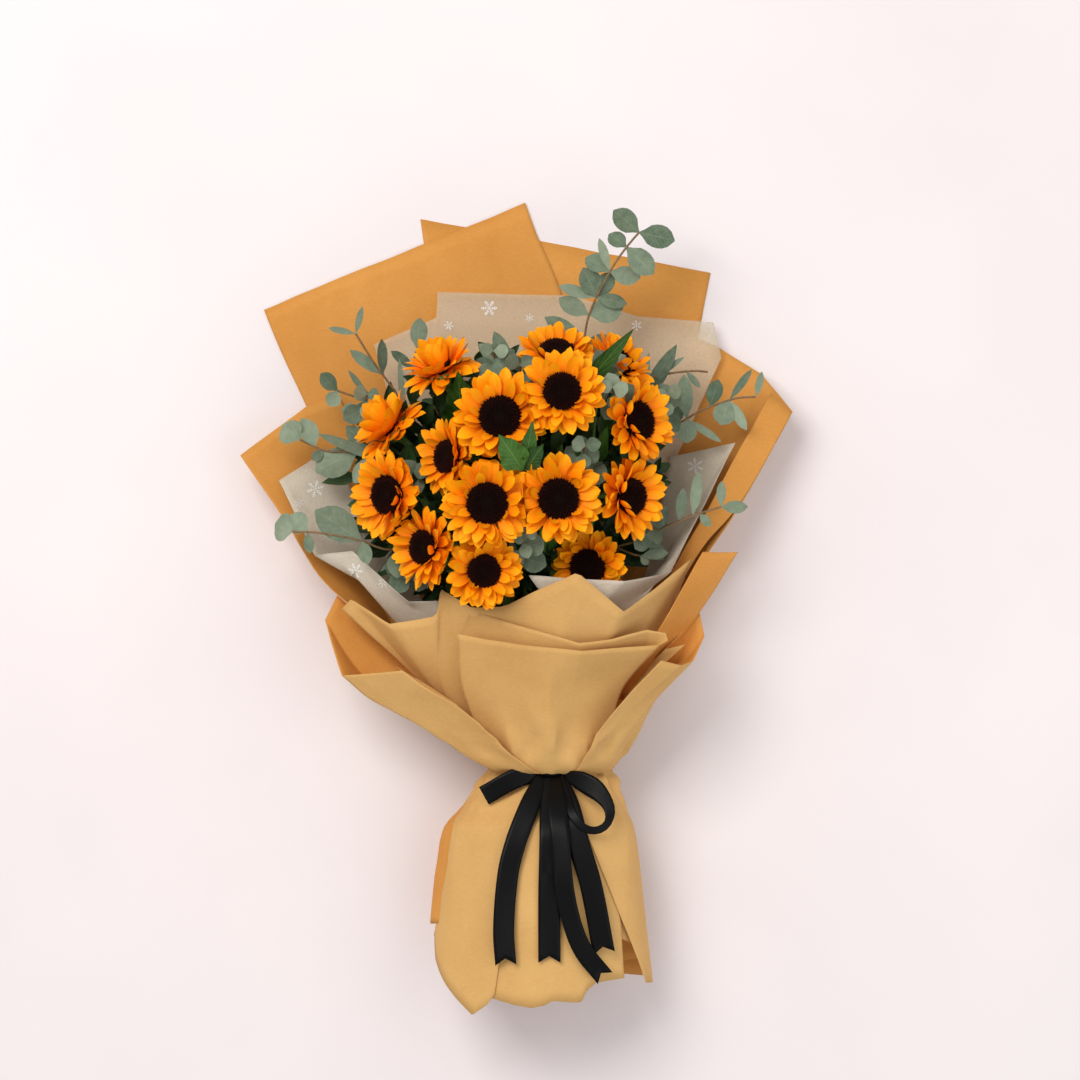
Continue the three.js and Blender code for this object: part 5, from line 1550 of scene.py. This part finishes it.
def eucalyptus(name, plan, seed):
    chance = random.Random(seed)
    roll = TWIG["leaf_roll"]
    courses, leaves = [], []
    for sprig in plan:
        curve = smooth_course(sprig["path"], TWIG["points"])
        courses.append(curve * MM)
        for part, *tip, width in sprig["leaves"]:
            root = Vector(curve[round(part * (TWIG["points"] - 1))])
            leaves.append((root, Vector(tip), width * ROUND_FULLNESS, chance.uniform(-roll, roll)))
    courses.append(trunk_course(name, Vector(plan[0]["path"][0])) * MM)
    mesh = grown(sprigs, name, {"start": sprig_mesh(courses, leaves), "Twig radius": TWIG["radius"],
                                "Leaves": round_shapes, "Seed": seed})
    return piece("eucalyptus_" + name, mesh, "foliage", name)


for seed, (name, plan) in enumerate(SPRIGS.items(), SPRIG_SEED):
    made = eucalyptus(name, plan, seed)
    print(made.name, len(made.data.polygons), "faces")

# %% [markdown]
# ### Filler leaves
# Between and below the heads the bunch is full of dark leafy twigs, whose dark green is partly
# their own and partly painted shade in the gaps. Each twig rises from deep in the bunch to a
# random place below the heads and carries leaves in turn on both sides.
# They could be placed one by one, but only their tips show, so a rule with a fixed seed sets
# them. A few short eucalyptus tips look out of the gaps between the heads as well, with round
# leaves in pairs. The dark twigs are one more piece and the pale ones another.

# %% Filler twigs, in millimetres
# The tips fill an oval round a centre, high in the middle and low at the edge. Lengths are
# ranges, widths are shares of the length, and the turn is from one leaf to the next.
FILLER = {"twigs": 120, "centre": (-8, 108), "half": (140, 118), "middle": 152, "edge": 62,
          "drop": 22, "base": (4, 20, 50), "root_height": 40, "root_share": 0.55, "arch": 9,
          "points": 20}
FILLER_LEAF = {"count": 9, "from": 0.45, "range": 0.55, "turn": 2.4, "swing": 0.4, "lean": 0.75,
               "lift": 0.25, "length": (19, 38), "width": (0.34, 0.52), "roll": 0.6}
FILLER_SEED = 7
FILLER_TREE_SEED = 11
THIN_TWIG_RADIUS = 0.0009


def filler_leaves(curve, chance):
    """Leaves in turn on both sides of the upper part of a twig."""
    leaves, last, plan = [], len(curve) - 1, FILLER_LEAF
    for k in range(plan["count"]):
        at = round((plan["from"] + plan["range"] * k / (plan["count"] - 1)) * last)
        root = Vector(curve[at])
        heading = Vector(curve[min(at + 1, last)] - curve[max(at - 1, 0)]).normalized()
        turn = plan["turn"] * k + chance.uniform(-plan["swing"], plan["swing"])
        aside = Matrix.Rotation(turn, 3, heading) @ heading.orthogonal().normalized()
        length = chance.uniform(*plan["length"])
        way = heading * plan["lean"] + aside * plan["lean"] + Vector((0, 0, plan["lift"]))
        tip = root + way.normalized() * length
        width = length * chance.uniform(*plan["width"])
        leaves.append((root, tip, width, chance.uniform(-plan["roll"], plan["roll"])))
    return leaves


def filler_twigs(chance, count):
    courses, leaves = [], []
    base, (x, y), (half_x, half_y) = Vector(FILLER["base"]), FILLER["centre"], FILLER["half"]
    for k in range(count):
        turn, out = k * GOLDEN_ANGLE, math.sqrt((k + 0.5) / count)
        height = FILLER["middle"] + (FILLER["edge"] - FILLER["middle"]) * out ** 2
        tip = Vector((x + half_x * out * math.cos(turn), y + half_y * out * math.sin(turn),
                      height - chance.uniform(0, FILLER["drop"])))
        root = base.lerp(Vector((tip.x, tip.y, FILLER["root_height"])), FILLER["root_share"])
        middle = root.lerp(tip, 0.5) + Vector((0, 0, FILLER["arch"]))
        curve = smooth_course([root, middle, tip], FILLER["points"])
        courses.append(curve * MM)
        leaves += filler_leaves(curve, chance)
    return courses, leaves


# %% Make the filler
filler_plan = filler_twigs(random.Random(FILLER_SEED), FILLER["twigs"])
filler_mesh = grown(sprigs, "filler", {
    "start": sprig_mesh(*filler_plan), "Twig radius": THIN_TWIG_RADIUS, "Leaves": slim_shapes,
    "Seed": FILLER_TREE_SEED})
filler = piece("filler_leaves", filler_mesh, "foliage")
print("filler:", len(filler_plan[1]), "leaves,", len(filler.data.polygons), "faces")

# %% Make the eucalyptus in the gaps
# Each gap is given by the tip of its sprig. The leaves sit in pairs, and a pair further down is
# longer and flatter.
GAPS = [(62, 142, 178), (8, 62, 172), (86, 194, 180), (78, 220, 160), (-20, 227, 152),
        (120, 74, 116), (-100, 42, 108), (-134, 190, 92), (136, 190, 112), (-92, 120, 132),
        (4, 214, 158)]
GAP_TWIG = {"rise": 62, "back": 26, "aside": 12, "arch": (0, -5, 3), "points": 20}
GAP_LEAF = {"pairs": 4, "step": 3, "turn": 1.9, "swing": 0.4, "length": (18, 26),
            "roundness": (0.76, 0.92), "first": 0.7, "longer": 0.12, "lift": 0.75, "flatter": 0.2}
GAP_SEED = 21
GAP_TREE_SEED = 12


def gap_leaves(curve, chance):
    leaves, plan = [], GAP_LEAF
    for k in range(2 * plan["pairs"]):
        pair, side = divmod(k, 2)
        spot = Vector(curve[len(curve) - 1 - plan["step"] * pair])
        turn = plan["turn"] * pair + math.pi * side + chance.uniform(-plan["swing"], plan["swing"])
        length = chance.uniform(*plan["length"]) * (plan["first"] + plan["longer"] * pair)
        lift = plan["lift"] - plan["flatter"] * pair
        way = Vector((math.cos(turn), math.sin(turn), lift)).normalized()
        width = length * chance.uniform(*plan["roundness"])
        leaves.append((spot, spot + way * length, width, 0.0))
    return leaves


def gap_sprigs(chance):
    courses, leaves, aside = [], [], GAP_TWIG["aside"]
    for tip in map(Vector, GAPS):
        root = tip + Vector((chance.uniform(-aside, aside), -GAP_TWIG["back"], -GAP_TWIG["rise"]))
        middle = root.lerp(tip, 0.5) + Vector(GAP_TWIG["arch"])
        curve = smooth_course([root, middle, tip], GAP_TWIG["points"])
        courses.append(curve * MM)
        leaves += gap_leaves(curve, chance)
    return courses, leaves


gap_plan = gap_sprigs(random.Random(GAP_SEED))
gap_mesh = grown(sprigs, "gaps", {
    "start": sprig_mesh(*gap_plan), "Twig radius": THIN_TWIG_RADIUS, "Leaves": round_shapes,
    "Seed": GAP_TREE_SEED})
gaps = piece("filler_eucalyptus", gap_mesh, "foliage")
drop_collection(slim_shapes)
drop_collection(round_shapes)
print("gaps:", len(gap_plan[1]), "leaves,", len(gaps.data.polygons), "faces")

# %% [markdown]
# ## Ribbon
# The bow is black satin ribbon, two centimetres wide: a turn round the tie, a knot, one
# flattened loop, one open loop and four tails. Each part is a band along its middle line. A
# cloth simulation could drop the tails, but they have to end where they do, so every point of
# them is lifted to just above whatever paper is under it instead. Satin is very smooth along
# its threads, which gives long soft highlights.

# %% Ribbon bands, in millimetres
RIBBON_BANDS = [
    dict(path=[[22, -150, 91], [0, -156, 97], [-29, -172, 94]], width=[18], tail=False),
    dict(path=[[42, -153, 91], [58, -158, 103], [74, -168, 110], [84, -183, 113], [82, -196, 116],
               [72, -202, 118.5], [60, -199, 119], [51, -188, 117], [44, -170, 105],
               [37, -152, 91]],
         width=[15, 20, 19, 12, 7, 7, 8, 9, 10, 10], tail=False),
    dict(path=[[24, -152, 91], [10, -186, 112], [0, -212, 121], [-7, -240, 124], [-11, -290, 126],
               [-9, -322, 127.5]], width=[19], tail=True),
    dict(path=[[31, -152, 91], [31, -198, 116], [31, -212, 119.5], [30, -260, 122],
               [30, -320, 126]],
         width=[20], tail=True),
    dict(path=[[40, -154, 91], [51, -193, 115.5], [54, -207, 117.5], [67, -250, 118.5],
               [79, -312, 119.5]],
         width=[20], tail=True),
    dict(path=[[36, -151, 90], [37, -178, 111], [39, -203, 122.5], [45, -262, 124.5],
               [58, -305, 124], [80, -334, 123.5]], width=[17], tail=True),
]
RIBBON = {"lift": 0.7, "pile": 0.9, "thickness": 0.3, "rows": 34, "columns": 7, "notch": 6.0,
          "hidden_above": -154, "shown_within": 6}
print(sum(band["tail"] for band in RIBBON_BANDS), "tails")


# %% Satin
def satin_finish():
    finish = Finish("black_satin", Roughness=0.38, Specular_IOR_Level=0.13, Anisotropic=0.5)
    along, across = finish.attribute("along"), finish.attribute("across")
    wide, long = finish.math("MULTIPLY", across, 60.0), finish.math("MULTIPLY", along, 5.0)
    threads = finish.speckle(finish.vector(wide, long, 0.0), 1.0, 2.0)
    edge = finish.math("GREATER_THAN", finish.math("ABSOLUTE", across), 0.93)
    base = finish.ramp(threads, (0.3, linear(4, 4, 5)), (0.7, linear(9, 9, 10)))
    finish.colour(finish.blend(finish.math("MULTIPLY", edge, 0.6), base, linear(17, 17, 19)))
    finish.relief(threads, 0.15, 0.0003)
    return finish.material


satin = satin_finish()
print("finish:", satin.name)

# %% The paper under the ribbon
RAY_START = 0.25
paper_pieces = [thing for thing in scene.objects if thing.name.startswith("paper_")]


def heights_over(pieces, points):
    """The top of these pieces under each point in metres, or a lift less than its own height."""
    graph = bpy.context.evaluated_depsgraph_get()
    out = []
    for x, y, z in points:
        tops = [z - RIBBON["lift"] * MM]
        for thing in pieces:
            start, down = Vector((x, y, RAY_START)), Vector((0, 0, -1))
            found, spot, _, _ = thing.evaluated_get(graph).ray_cast(start, down)
            if found:
                tops.append(spot.z)
        out.append(max(tops))
    return np.array(out)


print(len(paper_pieces), "papers")

# %% A band
# Waves tilt a band to and fro along its way, and start once it has left the knot. The pinch
# narrows it where it comes out of the knot, and the notch is cut into the end of a tail.
WAVES = {"height": 0.7, "count": 9, "start": 4}
PINCH = {"depth": 0.45, "reach": 0.12}
NOTCH_FROM = 0.85
NOTCH_RANGE = 0.15


def band_net(band, chance):
    course = smooth_course(band["path"], RIBBON["rows"])
    heading = np.gradient(course, axis=0)
    side = np.cross(heading, (0, 0, 1.0))
    side /= np.linalg.norm(side, axis=1, keepdims=True)
    across = np.linspace(-1, 1, RIBBON["columns"])
    part = np.linspace(0, 1, RIBBON["rows"])[:, None]
    marks = np.linspace(0, 1, len(band["width"]))
    half = np.interp(part, marks, band["width"])[:, :, None] / 2
    net = course[:, None] + side[:, None] * across[None, :, None] * half
    waves = WAVES["height"] * np.sin(part * WAVES["count"] + chance.uniform(0, 6))
    net[:, :, 2] += waves * across[None] * np.minimum(part * WAVES["start"], 1)
    pinch = 1 - PINCH["depth"] * np.exp(-(part / PINCH["reach"]) ** 2)
    net = course[:, None] + (net - course[:, None]) * pinch[:, :, None]
    if band["tail"]:
        along = heading[-1] / np.linalg.norm(heading[-1])
        end = np.clip((part - NOTCH_FROM) / NOTCH_RANGE, 0, 1)
        cut = end * (1 - np.abs(across)[None]) * RIBBON["notch"]
        net -= along * cut[:, :, None]
    return net, np.broadcast_to(part, net.shape[:2]), np.broadcast_to(across, net.shape[:2])


# %% Lay the bands
RIBBON_SEED = 3
ribbon_parts = Parts()
ribbon_chance = random.Random(RIBBON_SEED)
laid = 0
for band in RIBBON_BANDS:
    net, along, across = band_net(band, ribbon_chance)
    flat = net.reshape(-1, 3) * MM
    rise = RIBBON["lift"] * MM * (1 + RIBBON["pile"] * laid)
    lifted = np.maximum(flat[:, 2], heights_over(paper_pieces, flat) + rise)
    below_tie = RIBBON["hidden_above"] * MM - flat[:, 1]
    clear = np.clip(below_tie / (RIBBON["shown_within"] * MM), 0, 1)
    flat[:, 2] += (lifted - flat[:, 2]) * clear
    laid += band["tail"]
    ribbon_parts.add(flat, net_faces(*net.shape[:2]), along=along.ravel(), across=across.ravel())

# %% The turn and the knot
# The turn's rows are given by a share of its half width and by how far they stand out. The
# knot's folds run over it from end to end.
TURN = {"layer": 5.5, "half_width": 4.2, "sides": 48,
        "rows": ((-1, 0.4), (-0.6, 0.9), (-0.2, 0.4), (0.2, 1.0), (0.6, 0.5), (1, 0.3))}
KNOT = {"at": (31, -149, 90), "half": (12, 8, 6.5), "rows": 17, "columns": 24, "folds": 5,
        "depth": 0.07, "twist": 1.5}


def turn_net():
    """The ribbon's turn round the tie, on the outer layer of the paper."""
    rows, out = [], TURN["layer"] * LAYER_PITCH
    turns = np.arange(TURN["sides"]) * 2 * math.pi / TURN["sides"]
    for side, bulge in TURN["rows"]:
        rows.append([(WAIST["x"] + (WAIST["half_width"] + out + bulge) * math.cos(a),
                      WAIST["y"] + side * TURN["half_width"],
                      WAIST["z"] + (WAIST["half_depth"] + out + bulge) * math.sin(a))
                     for a in turns])
    return np.array(rows)


def knot_net():
    """A pulled-tight knot: an egg with folds that run over it."""
    net, (half_x, half_y, half_z) = [], KNOT["half"]
    for rise in (math.pi * r / (KNOT["rows"] - 1) for r in range(KNOT["rows"])):
        ring = []
        for turn in (2 * math.pi * c / KNOT["columns"] for c in range(KNOT["columns"])):
            wave = math.sin(KNOT["folds"] * turn + KNOT["twist"] * math.sin(rise * 2))
            fold = 1 + KNOT["depth"] * wave * math.sin(rise)
            ring.append((math.sin(rise) * math.cos(turn) * fold * half_x, math.cos(rise) * half_y,
                         math.sin(rise) * math.sin(turn) * fold * half_z))
        net.append(ring)
    return np.array(net) + KNOT["at"]


turn_rows, knot = turn_net(), knot_net()

# %% Make the ribbon
for net, across in ((turn_rows, 0.2), (knot, 0.3)):
    faces = ring_faces(*net.shape[:2])
    ribbon_parts.add(net.reshape(-1, 3) * MM, faces, along=0.5, across=across)
ribbon = piece("satin_ribbon", ribbon_parts.mesh("satin_ribbon", [satin]), "ribbon", "ribbon")
wall = ribbon.modifiers.new("thickness", "SOLIDIFY")
wall.thickness = RIBBON["thickness"] * MM
wall.offset = 0
print(ribbon.name, len(ribbon.data.polygons), "faces")

# %% [markdown]
# ## Snowflakes on the tissue
# The tissue is printed with scattered six-armed snowflakes in glittery white. A texture could
# carry them, but as thin strips they stay sharp and are part of the mesh. One arm is a stalk
# with three pairs of twigs. A Geometry Nodes tree turns it six times round each flake's
# middle, and the flakes are then laid on the tissue from above.

# %% Snowflake arm
# A flake is its x, y and width in millimetres. A twig is its place on the arm and its length.
FLAKES = [(-25, 271, 15), (-183, 105, 16), (163, 126, 15), (-145, 31, 14), (60, 30, 10),
          (12, 262, 8), (-197, 92, 8), (178, 152, 9), (-120, 20, 9), (110, 255, 10), (-62, 255, 9)]
ARM = {"width": 0.075, "start": 0.06, "twigs": ((0.35, 0.22), (0.58, 0.26), (0.80, 0.17)),
       "slant": (0.6, 0.8)}
PRINT_LIFT = 0.15
TURN_STEP = 0.3


def flake_finish():
    finish = Finish("flake_print", Roughness=0.35, Specular_IOR_Level=0.7)
    glitter = finish.speckle(finish.place(), 2600.0, 1.0)
    finish.colour(finish.ramp(glitter, (0.4, linear(232, 228, 222)), (0.6, linear(255, 255, 255))))
    finish.relief(glitter, 0.6, 0.0004)
    return finish.material


def arm_points():
    """One arm along +X, one unit long, as flat strips."""
    points, faces = [], []

    def strip(a, b):
        way = (b - a).normalized()
        aside = Vector((-way.y, way.x)) * ARM["width"] / 2
        first = len(points)
        points.extend((*p, 0.0) for p in (a + aside, a - aside, b - aside, b + aside))
        faces.append(tuple(range(first, first + 4)))

    strip(Vector((ARM["start"], 0)), Vector((1, 0)))
    forward, aside = ARM["slant"]
    for place, length in ARM["twigs"]:
        for side in (-1, 1):
            strip(Vector((place, 0)), Vector((place + length * forward, side * length * aside)))
    return points, faces


flake_material = flake_finish()
arm_mesh = mesh_of("flake_arm", *arm_points(), [flake_material])
arm_object = bpy.data.objects.new("flake_arm", arm_mesh)
scene.collection.objects.link(arm_object)
print("an arm:", len(arm_object.data.polygons), "strips")


# %% Snowflake tree
ARMS = 6


def flake_tree():
    nodes, given = new_tree("snowflake", {"Size": ("Float", 0.01), "Turn": ("Float", 0.0)})
    spots = nodes.add("GeometryNodePoints", {"Count": ARMS}).outputs[0]
    index = nodes.add("GeometryNodeInputIndex").outputs[0]
    turn = nodes.math("MULTIPLY_ADD", index, 2 * math.pi / ARMS, given["Turn"])
    shape = nodes.add("GeometryNodeObjectInfo", {"Object": arm_object}).outputs["Geometry"]
    size = given["Size"]
    placed = nodes.add("GeometryNodeInstanceOnPoints", {
        "Points": spots, "Instance": shape, "Rotation": nodes.vector(0.0, 0.0, turn),
        "Scale": nodes.vector(size, size, size)}).outputs[0]
    finish_tree(nodes, placed, flake_material)
    return nodes.tree


flakes = flake_tree()
print("arms on a flake:", ARMS)

# %% Lay the snowflakes
tissue_pieces = [thing for thing in paper_pieces if "tissue" in thing.name]
flake_parts = Parts()


def laid_on_tissue(points, x, y):
    """Points moved to a place on the tissue. Where one hangs off its edge, it stays level."""
    moved = points + np.array((x, y, 0)) * MM
    tops = heights_over(tissue_pieces, moved)
    moved[:, 2] = np.where(tops > 0, tops, tops.max()) + PRINT_LIFT * MM
    return moved


for k, (x, y, size) in enumerate(FLAKES):
    flake = grown(flakes, "flake", {"Size": size * MM / 2, "Turn": TURN_STEP * k})
    flake_parts.add_mesh(flake, lambda points: laid_on_tissue(points, x, y))
bpy.data.objects.remove(arm_object)
flake_mesh = flake_parts.mesh("tissue_snowflakes", [flake_material])
piece("tissue_snowflakes", flake_mesh, "tissue")
print(len(FLAKES), "snowflakes")
